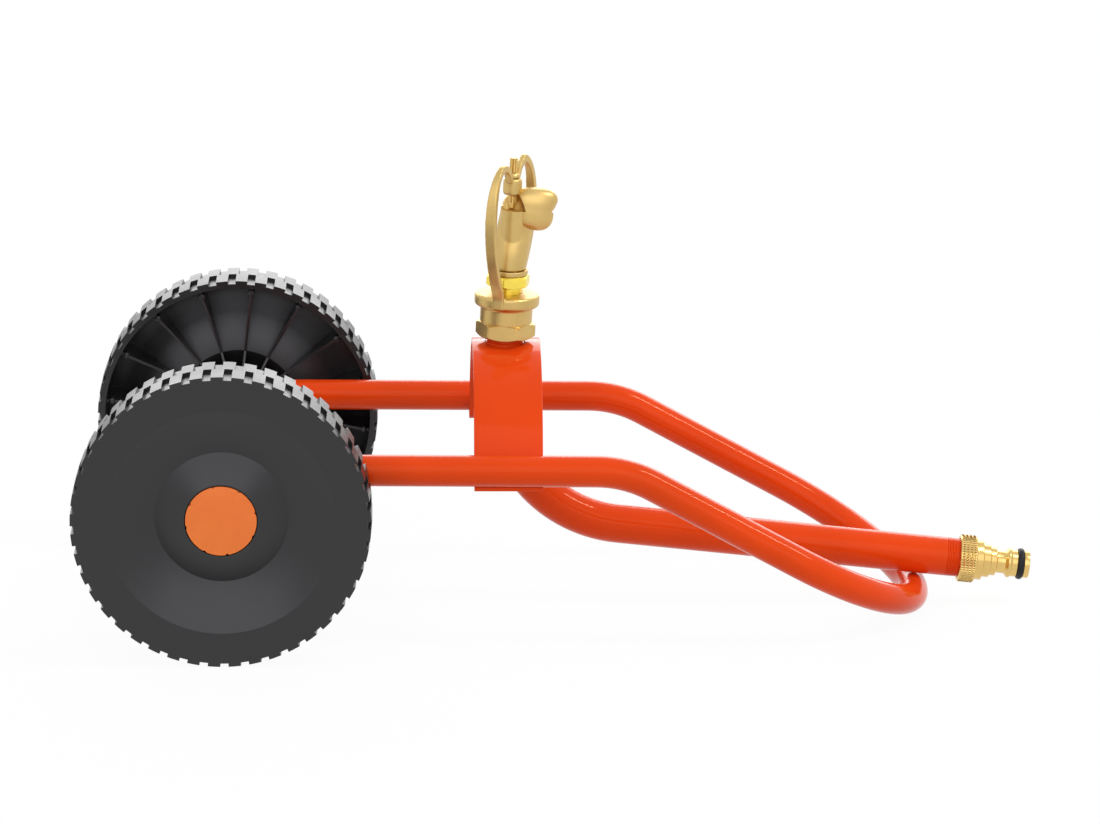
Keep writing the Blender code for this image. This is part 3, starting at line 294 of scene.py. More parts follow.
def turned(outline, sides=64, rounding=0.0, segments=2):
    """Lathe work: spin an outline of (radius, height) about Z.

    An outline that starts on the axis is left open there, any other is closed. Its sharp corners
    are rounded before it is spun.
    """
    bm = bmesh.new()
    closed = outline[0][0] > 0
    points = draw_outline(bm, outline, closed)
    if rounding:
        count = len(points)
        sharp = [points[i] for i in (range(count) if closed else range(1, count - 1))
                 if corner_angle(outline[i - 1], outline[i], outline[(i + 1) % count]) > SHARP_TURN]
        rounded(bm, sharp, rounding, segments, 'VERTICES')
    spin_round(bm, sides)
    bmesh.ops.remove_doubles(bm, verts=bm.verts, dist=1e-6)
    face_outward(bm)
    return bm


def curve_through(points, parts):
    """Points of a smooth run through the given rows of numbers, with parts steps between them."""
    rows = [points[0]] + list(points) + [points[-1]]
    out = []
    for a, b, c, d in zip(rows, rows[1:], rows[2:], rows[3:]):
        for k in range(parts):
            t = k / parts
            out.append(tuple(0.5 * (2 * q + (r - p) * t + (2 * p - 5 * q + 4 * r - s) * t * t
                                    + (3 * q - p - 3 * r + s) * t * t * t)
                             for p, q, r, s in zip(a, b, c, d)))
    out.append(tuple(points[-1]))
    return out


def stacked(bm, places, sides=32):
    """A body drawn through a row of places, each a matrix that sets a unit disc."""
    end = disc(bm, 1.0, places[0], sides)
    for before, after in zip(places, places[1:]):
        end = draw_out(bm, end, after @ before.inverted())


def ellipse(x, y, z, across, deep):
    """Place that turns a unit disc into a level ellipse with these half widths."""
    return Matrix.Translation((x, y, z)) @ Matrix.Diagonal((across, deep, 1, 1))


def bevel_sharp(bm, offset, segments=2, angle=math.radians(40)):
    """Round the outward edges that are sharper than the angle."""
    chosen = [edge for edge in bm.edges
              if len(edge.link_faces) == 2 and edge.is_convex and edge.calc_face_angle() > angle]
    rounded(bm, chosen, offset, segments)


def as_object(name, bm):
    """A plain object from a bmesh, which is used up."""
    mesh = bpy.data.meshes.new(name)
    bm.to_mesh(mesh)
    bm.free()
    made = bpy.data.objects.new(name, mesh)
    bpy.context.scene.collection.objects.link(made)
    return made


def discard(obj):
    """Delete an object and its mesh."""
    mesh = obj.data
    bpy.data.objects.remove(obj)
    bpy.data.meshes.remove(mesh)


def settle(obj):
    """Apply an object's modifiers to its mesh and take the result back as a bmesh."""
    bpy.context.view_layer.update()
    evaluated = obj.evaluated_get(bpy.context.evaluated_depsgraph_get())
    bm = bmesh.new()
    bm.from_mesh(evaluated.to_mesh())
    evaluated.to_mesh_clear()
    discard(obj)
    return bm


def take_in(bm, other):
    """Add another bmesh, which is used up, to this one."""
    mesh = bpy.data.meshes.new("part_in_work")
    other.to_mesh(mesh)
    other.free()
    bm.from_mesh(mesh)
    bpy.data.meshes.remove(mesh)


def cut_or_join(bm, helpers, operation):
    """Boolean work with a row of helper bodies."""
    body = as_object("shape_in_work", bm)
    tools = []
    for helper in helpers:
        tool = as_object("tool_in_work", helper)
        step = body.modifiers.new("step", 'BOOLEAN')
        step.operation = operation
        step.solver = 'EXACT'
        step.object = tool
        tools.append(tool)
    result = settle(body)
    for tool in tools:
        discard(tool)
    return result


def cast_as_one(bm, grain, smoothing):
    """Melt overlapping shapes into one casting with soft inside corners."""
    body = as_object("casting_in_work", bm)
    melt = body.modifiers.new("melt", 'REMESH')
    melt.mode = 'VOXEL'
    melt.voxel_size = grain
    melt.adaptivity = 0.0
    result = settle(body)
    for _ in range(smoothing):
        bmesh.ops.smooth_vert(result, verts=result.verts, factor=0.5, use_axis_x=True,
                              use_axis_y=True, use_axis_z=True)
    return result


def finished(name, bm, look, nodes, place=None, smooth=35.0):
    """Set a piece in its place with its finish. It stands for the CAD nodes it is given."""
    if place is not None:
        bmesh.ops.transform(bm, matrix=place, verts=bm.verts)
    bmesh.ops.remove_doubles(bm, verts=bm.verts, dist=1e-7)
    face_outward(bm)
    if not bm.faces:
        raise RuntimeError("no faces were made for " + name)
    made = as_object(name, bm)
    made.data.materials.append(look)
    made.data.shade_smooth()
    made.data.set_sharp_from_angle(angle=math.radians(smooth))
    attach(made, frame["nodes"][nodes[0]]["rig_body"])
    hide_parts(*nodes)


def start_finish(name, base, roughness, metallic=0.0):
    """The material of this name. When it is new, its node tree and shader come with it."""
    look = bpy.data.materials.get(name)
    if look:
        return look, None, None
    look = bpy.data.materials.new(name)
    look.use_nodes = True
    look.diffuse_color = (*base, 1.0)
    shader = look.node_tree.nodes["Principled BSDF"]
    shader.inputs["Base Color"].default_value = (*base, 1.0)
    shader.inputs["Roughness"].default_value = roughness
    shader.inputs["Metallic"].default_value = metallic
    return look, look.node_tree, shader


def add_node(tree, kind, sources=None, **settings):
    """A new shader node: its settings, then a link or a value for each input that is named."""
    node = tree.nodes.new("ShaderNode" + kind)
    for key, value in settings.items():
        setattr(node, key, value)
    for key, source in (sources or {}).items():
        if isinstance(source, bpy.types.NodeSocket):
            tree.links.new(source, node.inputs[key])
        else:
            node.inputs[key].default_value = source
    return node


def object_point(tree, turn=(0, 0, 0), shift=(0, 0, 0)):
    """Object coordinates, seen from a place that is turned and shifted."""
    point = add_node(tree, "TexCoord").outputs["Object"]
    return add_node(tree, "Mapping", {"Vector": point, "Location": shift, "Rotation": turn},
                    vector_type='TEXTURE').outputs["Vector"]


def speckle(tree, point, scale, detail=3.0, rough=0.55):
    """Noise from 0 to 1."""
    return add_node(tree, "TexNoise", {"Vector": point, "Scale": scale, "Detail": detail,
                                       "Roughness": rough}).outputs["Fac"]


def spread(tree, value, low, high, first, last):
    """Map a value from one range to another."""
    return add_node(tree, "MapRange", {"Value": value, "From Min": low, "From Max": high,
                                       "To Min": first, "To Max": last}).outputs["Result"]


def blend_colours(tree, value, first, second):
    """Mix two colours, each a tuple or a socket."""
    a, b = ((*end, 1.0) if isinstance(end, tuple) else end for end in (first, second))
    return add_node(tree, "Mix", {0: value, 6: a, 7: b}, data_type='RGBA').outputs[2]


def relief(tree, shader, height, strength, distance):
    """Bump from a height in the shader's Normal."""
    bump = add_node(tree, "Bump", {"Height": height, "Strength": strength, "Distance": distance})
    tree.links.new(bump.outputs["Normal"], shader.inputs["Normal"])


def shade_of(base, factor):
    return tuple(min(1.0, channel * factor) for channel in base)


def drift(tree, shader, base, cloud, dark, light, low=0.3, high=0.7):
    """Let the base colour drift between two shades of itself."""
    share = spread(tree, cloud, low, high, 0.0, 1.0)
    tint = blend_colours(tree, share, shade_of(base, dark), shade_of(base, light))
    tree.links.new(tint, shader.inputs["Base Color"])


def enamel():
    """Glossy orange-red powder coat with a faint orange-peel skin."""
    base = tuple(colours().enamel)
    look, tree, shader = start_finish("red_enamel", base, 0.12)
    if tree is None:
        return look
    shader.inputs["Specular IOR Level"].default_value = 0.22
    shader.inputs["Specular Tint"].default_value = (1.0, 0.62, 0.40, 1.0)
    point = object_point(tree)
    drift(tree, shader, base, speckle(tree, point, 14.0, 2.0), 0.95, 1.04, 0.35, 0.65)
    sheen = spread(tree, speckle(tree, point, 60.0, 3.0), 0.3, 0.7, 0.105, 0.140)
    tree.links.new(sheen, shader.inputs["Roughness"])
    relief(tree, shader, speckle(tree, point, 420.0, 2.0), 0.035, 0.0006)
    return look


def moulded_plastic(name, base, roughness, grain, sheen=(1.0, 1.0, 1.0), gloss=0.5):
    """Injection moulded plastic: fine spark-eroded grain and slight flow marks."""
    look, tree, shader = start_finish(name, base, roughness)
    if tree is None:
        return look
    shader.inputs["Specular Tint"].default_value = (*sheen, 1.0)
    shader.inputs["Specular IOR Level"].default_value = gloss
    point = object_point(tree)
    flow = speckle(tree, point, 22.0, 3.0)
    drift(tree, shader, base, flow, 0.90, 1.12)
    patchy = spread(tree, flow, 0.3, 0.7, roughness - 0.04, roughness + 0.04)
    tree.links.new(patchy, shader.inputs["Roughness"])
    relief(tree, shader, speckle(tree, point, grain, 2.0, 0.6), 0.10, 0.0003)
    return look


def wheel_plastic():
    return moulded_plastic("wheel_plastic", tuple(colours().moulding), 0.33, 2600.0, (0.97, 0.96, 1.0), 0.52)


def cap_plastic():
    return moulded_plastic("cap_plastic", tuple(colours().cap), 0.36, 3200.0, gloss=0.40)


def nylon():
    return moulded_plastic("natural_nylon", (0.70, 0.69, 0.65), 0.45, 2400.0)


def rubber():
    return moulded_plastic("seal_rubber", (0.016, 0.016, 0.016), 0.45, 3600.0, gloss=0.2)


def cast_metal():
    """Satin cast brass: fine sand grain with patches of slightly darker and lighter tone."""
    base = tuple(colours().cast)
    look, tree, shader = start_finish("satin_cast_brass", base, 0.38, 1.0)
    if tree is None:
        return look
    point = object_point(tree)
    cloud = speckle(tree, point, 70.0, 4.0)
    drift(tree, shader, base, cloud, 0.92, 1.06)
    tree.links.new(spread(tree, cloud, 0.3, 0.7, 0.34, 0.42), shader.inputs["Roughness"])
    relief(tree, shader, speckle(tree, point, 1500.0, 3.0, 0.6), 0.16, 0.0004)
    return look


def lathe_metal(name, base, roughness, place, marks):
    """Turned metal: fine ring marks round the given place's Z axis."""
    look, tree, shader = start_finish(name, base, roughness, 1.0)
    if tree is None:
        return look
    point = object_point(tree, turn=tuple(place.to_euler()), shift=tuple(place.to_translation()))
    rings = add_node(tree, "TexWave", {"Vector": point, "Scale": marks, "Distortion": 1.2, "Detail": 3.0,
                                       "Detail Scale": 1.5},
                     wave_type='BANDS', bands_direction='Z').outputs["Fac"]
    drift(tree, shader, base, speckle(tree, object_point(tree), 120.0, 3.0), 0.94, 1.05)
    tree.links.new(spread(tree, rings, 0.0, 1.0, roughness * 0.8, roughness * 1.25),
                   shader.inputs["Roughness"])
    relief(tree, shader, rings, 0.06, 0.0002)
    return look


def head_brass():
    return lathe_metal("turned_brass_head", tuple(colours().turned), 0.24, head_place(), 900.0)


def nipple_brass():
    return lathe_metal("turned_brass_nipple", tuple(colours().turned), 0.22, nipple_place(), 700.0)


def nut_brass():
    return lathe_metal("polished_brass", tuple(colours().polished), 0.30, head_place(), 1100.0)


def zinc():
    return lathe_metal("bright_zinc", (0.56, 0.57, 0.59), 0.30, axle_place(), 800.0)


class SLED_OT_frame_tube(bpy.types.Operator):
    """Bend the long frame tube: two arms, two slopes and the nose"""
    bl_idname = "sled.frame_tube"
    bl_label = "Frame Tube"

    def execute(self, context):
        s = sizes()
        level = arm_level()
        ahead = direction_down(s.arm_slope)
        start = Vector((AXLE.x - s.arm_rear, -s.arm_offset, level))
        bm = bmesh.new()
        end = disc(bm, s.tube_radius, facing(X_AXIS, start))
        bend_start = AXLE.x + s.arm_length
        end = draw_out(bm, end, X_AXIS * (bend_start - start.x))
        low = level - s.arm_bend
        end = bend_on(bm, end, (bend_start, -s.arm_offset, low), Y_AXIS, s.arm_slope)
        tip = nose_tip()
        corner = Vector((tip.x, -s.arm_offset, tip.z))
        leave = Vector((bend_start, -s.arm_offset, low)) + Vector(
            (math.sin(s.arm_slope), 0, math.cos(s.arm_slope))) * s.arm_bend
        arc_start = corner - ahead * s.nose_radius
        end = draw_out(bm, end, arc_start - leave)
        nose_axis = ahead.cross(Y_AXIS)
        end = bend_on(bm, end, arc_start + Y_AXIS * s.nose_radius, nose_axis, math.pi / 2)
        end = draw_out(bm, end, Y_AXIS * (2 * (s.arm_offset - s.nose_radius)))
        second = Vector((corner.x, s.arm_offset, corner.z)) - ahead * s.nose_radius
        end = bend_on(bm, end, second - Y_AXIS * s.nose_radius, nose_axis, math.pi / 2)
        end = draw_out(bm, end, leave - arc_start)
        end = bend_on(bm, end, (bend_start, s.arm_offset, low), Y_AXIS, -s.arm_slope)
        end = draw_out(bm, end, X_AXIS * (start.x - bend_start))
        face_outward(bm)
        wall, mouth_depth = 0.0023, 0.014
        for opening in (face for face in bm.faces[:] if len(face.verts) > 4):
            bmesh.ops.inset_region(bm, faces=[opening], thickness=wall, use_even_offset=True)
            draw_out(bm, [opening], X_AXIS * mouth_depth)
        finished("frame_tube_bent", bm, enamel(), ["frame_tube"])
        return {'FINISHED'}


class SLED_OT_riser_bracket(bpy.types.Operator):
    """Roll the flat strip that carries the riser"""
    bl_idname = "sled.riser_bracket"
    bl_label = "Riser Bracket"

    def execute(self, context):
        s = sizes()
        low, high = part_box("riser_bracket")
        middle = (low.x + high.x) / 2 - 0.0003
        half = s.strip_thickness / 2
        leg_gap, foot_reach, bend, clearance = 0.0018, 0.0010, 0.0055, 0.0004
        radius = s.arm_offset - s.tube_radius - leg_gap - half
        centre = Vector((middle, 0, high.z - half - radius))
        foot = low.z + half
        rise = foot + bend - centre.z
        fillet = Vector((middle, math.sqrt((radius + bend) ** 2 - rise ** 2), foot + bend))
        lift = math.asin(rise / (radius + bend))
        bm = bmesh.new()
        toe = Vector((middle, s.arm_offset + foot_reach, foot))
        made = bmesh.ops.create_grid(bm, x_segments=1, y_segments=1, size=0.5, matrix=facing(-Y_AXIS, toe))
        across = max(vert.co.x - middle for vert in made["verts"])
        scale = Matrix.Diagonal((s.strip_width / 2 / across, 1, half / across, 1))
        bmesh.ops.transform(bm, matrix=about(toe, scale), verts=made["verts"])
        end = draw_out(bm, bm.faces[:], Y_AXIS * (fillet.y - toe.y))
        end = bend_on(bm, end, fillet, X_AXIS, -(math.pi / 2 - lift), math.radians(8))
        end = bend_on(bm, end, centre, X_AXIS, math.pi - 2 * lift)
        other = Vector((middle, -fillet.y, fillet.z))
        end = bend_on(bm, end, other, X_AXIS, -(math.pi / 2 - lift), math.radians(8))
        draw_out(bm, end, Y_AXIS * (fillet.y - toe.y))
        twist = Matrix.Rotation(math.radians(0.86), 3, 'Z')
        bmesh.ops.rotate(bm, cent=(middle, 0, 0), matrix=twist, verts=bm.verts)
        face_outward(bm)
        bevel_sharp(bm, 0.00045, 3)
        drill = bmesh.new()
        below = head_place() @ Matrix.Translation((0, 0, -0.015))
        draw_out(drill, disc(drill, s.pipe_radius + clearance, below, 64),
                 head_place().to_3x3() @ Vector((0, 0, 0.014)))
        face_outward(drill)
        bm = cut_or_join(bm, [drill], 'DIFFERENCE')
        finished("riser_bracket_strip", bm, enamel(), ["riser_bracket"], smooth=30)
        return {'FINISHED'}


class SLED_OT_supply_pipe(bpy.types.Operator):
    """Bend the water pipe and cut its front thread"""
    bl_idname = "sled.supply_pipe"
    bl_label = "Water Pipe"

    def execute(self, context):
        s = sizes()
        up = head_place().to_3x3() @ Z_AXIS
        top = head_place() @ Vector((0, 0, 0.0137))
        ahead = direction_down(s.pipe_slope)
        over = pipe_line(0)
        gap = over - top
        along = (gap.x * up.z - gap.z * up.x) / (up.x * ahead.z - up.z * ahead.x)
        corner = over + ahead * along
        turn = (-up).angle(ahead)
        reach = s.pipe_bend * math.tan(turn / 2)
        axis = (-up).cross(ahead)
        bm = bmesh.new()
        neck_share, neck_length, shoulder_length = 0.92, 0.0172, 0.0010
        end = disc(bm, s.pipe_radius * neck_share, facing(-up, top), 56)
        end = draw_out(bm, end, up * -neck_length)
        widen = about(end[0].calc_center_median(), Matrix.Scale(1 / neck_share, 4))
        end = draw_out(bm, end, Matrix.Translation(up * -shoulder_length) @ widen)
        bend_start = corner + up * reach
        end = draw_out(bm, end, bend_start - top + up * (neck_length + shoulder_length))
        centre = bend_start + axis.cross(-up).normalized() * s.pipe_bend
        end = bend_on(bm, end, centre, axis, turn)
        leave = corner + ahead * reach
        thread_start = pipe_line(0.0202)
        end = draw_out(bm, end, thread_start - leave)
        thread_inside = 0.0105
        self.cut_thread(bm, end, pipe_line(RING_REAR + thread_inside) - thread_start)
        finished("supply_pipe_bent", bm, enamel(), ["supply_pipe"], smooth=40)
        return {'FINISHED'}

    def cut_thread(self, bm, end, run):
        """Painted thread ridges, drawn a little narrower towards the pipe's end."""
        pitch, root, taper = 0.00112, 0.968, 0.9985
        count = int(run.length / pitch)
        step = run.normalized() * (pitch / 4)
        middle = end[0].calc_center_median()
        for k in range(count * 4):
            middle = middle + step
            factor = (1.0, root, 1.0 / root, taper)[k % 4]
            end = draw_out(bm, end, about(middle, Matrix.Scale(factor, 4)) @ Matrix.Translation(step))


class SLED_OT_axle(bpy.types.Operator):
    """Turn the axle tube, the rod and the rings at its ends"""
    bl_idname = "sled.axle"
    bl_label = "Axle"

    def execute(self, context):
        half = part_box("axle_tube")[1].y
        tube = turned([(ROD_BORE, -half), (0.0100, -half), (0.0100, half), (ROD_BORE, half)], 64, 0.0004)
        finished("axle_tube_turned", tube, enamel(), ["axle_tube"], axle_place())
        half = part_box("axle_rod")[1].y
        rod = turned([(0, -half), (0.0060, -half), (0.0060, half), (0, half)], 48, 0.0008)
        finished("axle_rod_turned", rod, zinc(), ["axle_rod"], axle_place())
        for kind, rounding in (("washer_inner", 0.00025), ("washer_outer", 0.00025), ("push_nut", 0.0007)):
            for word in ("left", "right"):
                self.ring("axle_" + kind + "_" + word, rounding)
        return {'FINISHED'}

    def ring(self, node, rounding):
        """A ring as wide and as thick as its CAD node."""
        low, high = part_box(node)
        radius = (high.z - low.z) / 2
        ring = turned([(ROD_BORE, low.y), (radius, low.y), (radius, high.y), (ROD_BORE, high.y)],
                      48, rounding)
        finished(node + "_turned", ring, zinc(), [node], axle_place())


class SLED_OT_wheels(bpy.types.Operator):
    """Mould the two wheels with staggered lugs, a dished face and ribs"""
    bl_idname = "sled.wheels"
    bl_label = "Wheels"

    def execute(self, context):
        for side, word, phase in ((1, "left", -16.2), (-1, "right", -0.88)):
            bm = self.body()
            self.lugs(bm)
            bevel_sharp(bm, 0.00028, 2, math.radians(50))
            self.ribs(bm)
            place = wheel_place(side, math.radians(phase))
            finished("wheel_" + word + "_moulding", bm, wheel_plastic(), ["wheel_" + word],
                     place, 20)
            self.bushes(word, place)
        return {'FINISHED'}

    def body(self):
        """Turned body, in 0.8 degree steps so that lug ends fall on its edges."""
        s = sizes()
        base, wide, rim_wall = s.wheel_radius - LUG_HEIGHT, s.wheel_width, 0.0030
        outline = [(base, 0), (0.0765, 0), (0.0700, -0.0038), (0.0600, -0.0090), (0.0500, -0.0132),
                   (0.0445, -0.0150), (0.0251, -0.0046), (0.0243, -0.0046), (0.0243, -HUB_FLOOR),
                   (0.0083, -HUB_FLOOR), (0.0083, -wide), (0.0140, -wide), (0.0140, -0.0200),
                   (0.0272, -0.0200), (0.0272, -0.0096), (0.0435, -0.01845), (0.0520, -0.0166),
                   (0.0610, -0.0130), (0.0700, -0.0086), (0.0785, -0.0048), (0.0865, -0.0032),
                   (base - rim_wall, -rim_wall), (base - rim_wall, -wide), (base, -wide)]
        outline += [(base, -wide * share) for share in (0.93, 0.75, 0.5, 0.25, 0.07)]
        bm = bmesh.new()
        draw_outline(bm, outline, True)
        spin_round(bm, 10 * s.lug_count)
        bmesh.ops.remove_doubles(bm, verts=bm.verts, dist=1e-6)
        face_outward(bm)
        return bm

    def lugs(self, bm):
        """Raise the lugs: the outer row is half a pitch on from the inner row."""
        s = sizes()
        base, crown, half_lug = s.wheel_radius - LUG_HEIGHT, 0.0003, 0.3
        pitch = 2 * math.pi / s.lug_count
        raised = []
        for face in bm.faces:
            middle = face.calc_center_median()
            if middle.xy.length < base - 0.0002:
                continue
            turn = math.atan2(middle.y, middle.x) / pitch
            if -middle.z < s.wheel_width / 2:
                turn += 0.5
            if abs(turn - round(turn)) < half_lug:
                raised.append(face)
        made = bmesh.ops.extrude_face_region(bm, geom=raised)["geom"]
        for vert in only(made, bmesh.types.BMVert):
            off = abs(-vert.co.z - s.wheel_width / 2) / (s.wheel_width / 2)
            radius = s.wheel_radius - crown * off * off
            flat = vert.co.xy.normalized() * radius
            vert.co.x, vert.co.y = flat

    def ribs(self, bm):
        """Radial ribs behind the dish, each with an ejector pin near the rim."""
        s = sizes()
        outline = [(0.0125, -0.0330), (0.0170, -0.0330), (0.0435, -0.0198), (0.0900, -0.0370),
                   (0.0960, -0.0370), (0.0960, -0.0015), (0.0765, -0.0015), (0.0588, -0.0125),
                   (0.0435, -0.0170), (0.0258, -0.0082), (0.0258, -0.0185), (0.0125, -0.0185)]
        rib = bmesh.new()
        wall = 0.0018
        face = rib.faces.new([rib.verts.new((radius, -wall / 2, height)) for radius, height in outline])
        draw_out(rib, [face], Y_AXIS * wall)
        face_outward(rib)
        bevel_sharp(rib, 0.00025, 2)
        pin = disc(rib, 0.0023, Matrix.Translation((0.0907, 0, -0.0300)), 20)
        pin = draw_out(rib, pin, Vector((0, 0, -0.0064)))
        for wide, step in ((0.90, 0.0006), (0.72, 0.0005), (0.50, 0.0003)):
            shrink = about(pin[0].calc_center_median(), Matrix.Diagonal((wide, wide, 1, 1)))
            pin = draw_out(rib, pin, Matrix.Translation(Z_AXIS * -step) @ shrink)
        face_outward(rib)
        bmesh.ops.spin(rib, geom=rib.verts[:] + rib.edges[:] + rib.faces[:], cent=(0, 0, 0), axis=(0, 0, 1),
                       angle=2 * math.pi * (s.rib_count - 1) / s.rib_count, steps=s.rib_count - 1,
                       use_duplicate=True)
        take_in(bm, rib)

    def bushes(self, word, place):
        """Flanged bushes in both ends of the hub."""
        depth, barrel, flange_radius, flange = 0.0100, 0.0080, 0.0112, 0.0018
        for end, face, away in (("outer", -HUB_FLOOR, 1), ("inner", -sizes().wheel_width, -1)):
            outline = [(ROD_BORE, face - away * depth), (barrel, face - away * depth),
                       (barrel, face + away * GAP), (flange_radius, face + away * GAP),
                       (flange_radius, face + away * flange), (ROD_BORE, face + away * flange)]
            node = "wheel_bush_" + word + "_" + end
            finished(node + "_turned", turned(outline, 48, 0.0003), nylon(), [node], place)


class SLED_OT_hub_caps(bpy.types.Operator):
    """Mould the flat orange hub caps with nicks round their edges"""
    bl_idname = "sled.hub_caps"
    bl_label = "Hub Caps"

    def execute(self, context):
        nicks, nick_angle, edge = 8, 0.036, 0.0237
        for side, word, phase in ((1, "left", 10.0), (-1, "right", 14.0)):
            outline = [(0, -0.0067), (0.0216, -0.0067), (0.0216, -0.0109), (0.0234, -0.0109),
                       (0.0234, -0.0067), (edge, -0.0067), (edge, -0.0047), (0, -0.0047)]
            bm = turned(outline, 180, 0.0003)
            for k in range(nicks):
                turn = 2 * math.pi * (k + 0.12 * math.sin(3.0 * k)) / nicks
                depth = 0.0007 + 0.0003 * math.sin(2.2 * k + 1.0)
                for vert in bm.verts:
                    off = (math.atan2(vert.co.y, vert.co.x) - turn + math.pi) % (2 * math.pi) - math.pi
                    if abs(off) < nick_angle and vert.co.xy.length > 0.0235:
                        pull = depth * (1 - abs(off) / nick_angle) + 0.0003
                        vert.co.xy = vert.co.xy * (1 - pull / edge)
            finished("hub_cap_" + word + "_moulding", bm, cap_plastic(), ["hub_cap_" + word],
                     wheel_place(side, math.radians(phase)))
        return {'FINISHED'}


class SLED_OT_tube_plugs(bpy.types.Operator):
    """Mould the plugs in the arms' open rear ends"""
    bl_idname = "sled.tube_plugs"
    bl_label = "Tube Plugs"

    def execute(self, context):
        outline = [(0, 0.0115), (0.0078, 0.0115), (0.0080, -0.0003), (0.01065, -0.0003),
                   (0.01065, -0.0012), (0.0098, -0.0019), (0.0060, -0.0023), (0, -0.0023)]
        s = sizes()
        for node, side in (("tube_end_plug_left", 1), ("tube_end_plug_right", -1)):
            place = Matrix.Translation((AXLE.x - s.arm_rear, side * s.arm_offset, arm_level()))
            finished(node + "_moulding", turned(outline, 48, 0.0003), wheel_plastic(), [node],
                     place @ Matrix.Rotation(math.pi / 2, 4, 'Y'))
        return {'FINISHED'}


class SLED_OT_hose_nipple(bpy.types.Operator):
    """Turn the hose adaptor, roll its knurl and fit its seal"""
    bl_idname = "sled.hose_nipple"
    bl_label = "Hose Nipple"

    def execute(self, context):
        outline = [(0.01375, 0.0008), (0.0155, 0.0008), (0.0155, 0.0124), (0.0140, 0.0126),
                   (0.0140, 0.0172), (0.0116, 0.0177), (0.0116, 0.0225), (0.0100, 0.0230), (0.0100, 0.0268),
                   (0.0078, 0.0274), (0.0078, 0.0333), (0.0104, 0.0354), (0.0104, 0.0366),
                   (0.0094, 0.0379), (0.0094, 0.0418), (0.0080, 0.0418), (0.0080, 0.0465),
                   (0.0095, 0.0465), (0.0095, 0.0502), (0.0050, 0.0502), (0.0050, 0.0131),
                   (0.01375, 0.0131)]
        bm = turned(outline, 96, 0.00028, 3)
        place = nipple_place()
        finished("hose_nipple_turned", bm, nipple_brass(), ["hose_nipple"], place, 30)
        finished("hose_nipple_knurl", self.knurl(), nipple_brass(), ["hose_nipple"],
                 place, 15)
        seal = bmesh.new()
        seat, along = 0.0094, 0.04415
        spot = Matrix.Translation((seat, 0, along)) @ Matrix.Rotation(math.pi / 2, 4, 'X')
        ring = bmesh.ops.create_circle(seal, segments=20, radius=0.00150, matrix=spot)
        bmesh.ops.scale(seal, vec=(1, 1, 1.45), space=Matrix.Translation((0, 0, -along)),
                        verts=ring["verts"])
        spin_round(seal, 72)
        finished("nipple_seal_ring", seal, rubber(), ["nipple_seal"], place, 60)
        return {'FINISHED'}

    def knurl(self):
        """Diamond knurl: pyramids that stand on a net of crossing grooves."""
        around, rows = 56, 4
        low, high = 0.0014, 0.0119
        groove, peak = 0.01592, 0.0166
        bm = bmesh.new()
        step = (high - low) / rows
        draw_outline(bm, [(groove, low + step * k) for k in range(rows + 1)], False)
        spin_round(bm, around)
        bmesh.ops.remove_doubles(bm, verts=bm.verts, dist=1e-6)
        net = bm.edges[:]
        bmesh.ops.poke(bm, faces=bm.faces[:])
        for vert in bm.verts:
            vert.co.xy = vert.co.xy.normalized() * groove
        halved = bmesh.ops.subdivide_edges(bm, edges=net, cuts=1)
        for vert in only(halved["geom_inner"], bmesh.types.BMVert):
            if low + 1e-5 < vert.co.z < high - 1e-5:
                vert.co.xy = vert.co.xy.normalized() * peak
        rims = [edge for edge in bm.edges if edge.is_boundary]
        for side in (-1, 1):
            rim = [edge for edge in rims if (edge.verts[0].co.z - (low + high) / 2) * side > 0]
            made = bmesh.ops.extrude_edge_only(bm, edges=rim)["geom"]
            verts = only(made, bmesh.types.BMVert)
            bmesh.ops.scale(bm, vec=(0.985, 0.985, 1), verts=verts)
            bmesh.ops.translate(bm, vec=(0, 0, side * 0.0004), verts=verts)
            made = bmesh.ops.extrude_edge_only(bm, edges=only(made, bmesh.types.BMEdge))["geom"]
            bmesh.ops.scale(bm, vec=(0.93, 0.93, 1), verts=only(made, bmesh.types.BMVert))
        bmesh.ops.bridge_loops(bm, edges=[edge for edge in bm.edges if edge.is_boundary])
        return bm


def hexagon(flats, low, high, turn, corner):
    """Hexagonal bar with its corners turned down at both ends."""
    bar = bmesh.new()
    reach = flats / math.sqrt(3)
    place = Matrix.Translation((0, 0, low)) @ Matrix.Rotation(turn + math.pi / 6, 4, 'Z')
    end = disc(bar, reach, place, 6)
    draw_out(bar, end, Vector((0, 0, high - low)))
    face_outward(bar)
    upright = [edge for edge in bar.edges if abs(edge.verts[0].co.z - edge.verts[1].co.z) > 1e-5]
    rounded(bar, upright, 0.0006, 3)
    face, past = flats / 2 * 0.985, reach + 0.0002
    barrel = turned([(0, low), (face, low), (past, low + corner), (past, high - corner), (face, high),
                     (0, high)], 96)
    return cut_or_join(bar, [barrel], 'INTERSECT')


def bore_tool(steps):
    """Stepped drill about Z, from (radius, height) pairs."""
    outline = [(0, steps[0][1])] + list(steps) + [(0, steps[-1][1])]
    return turned(outline, 64)


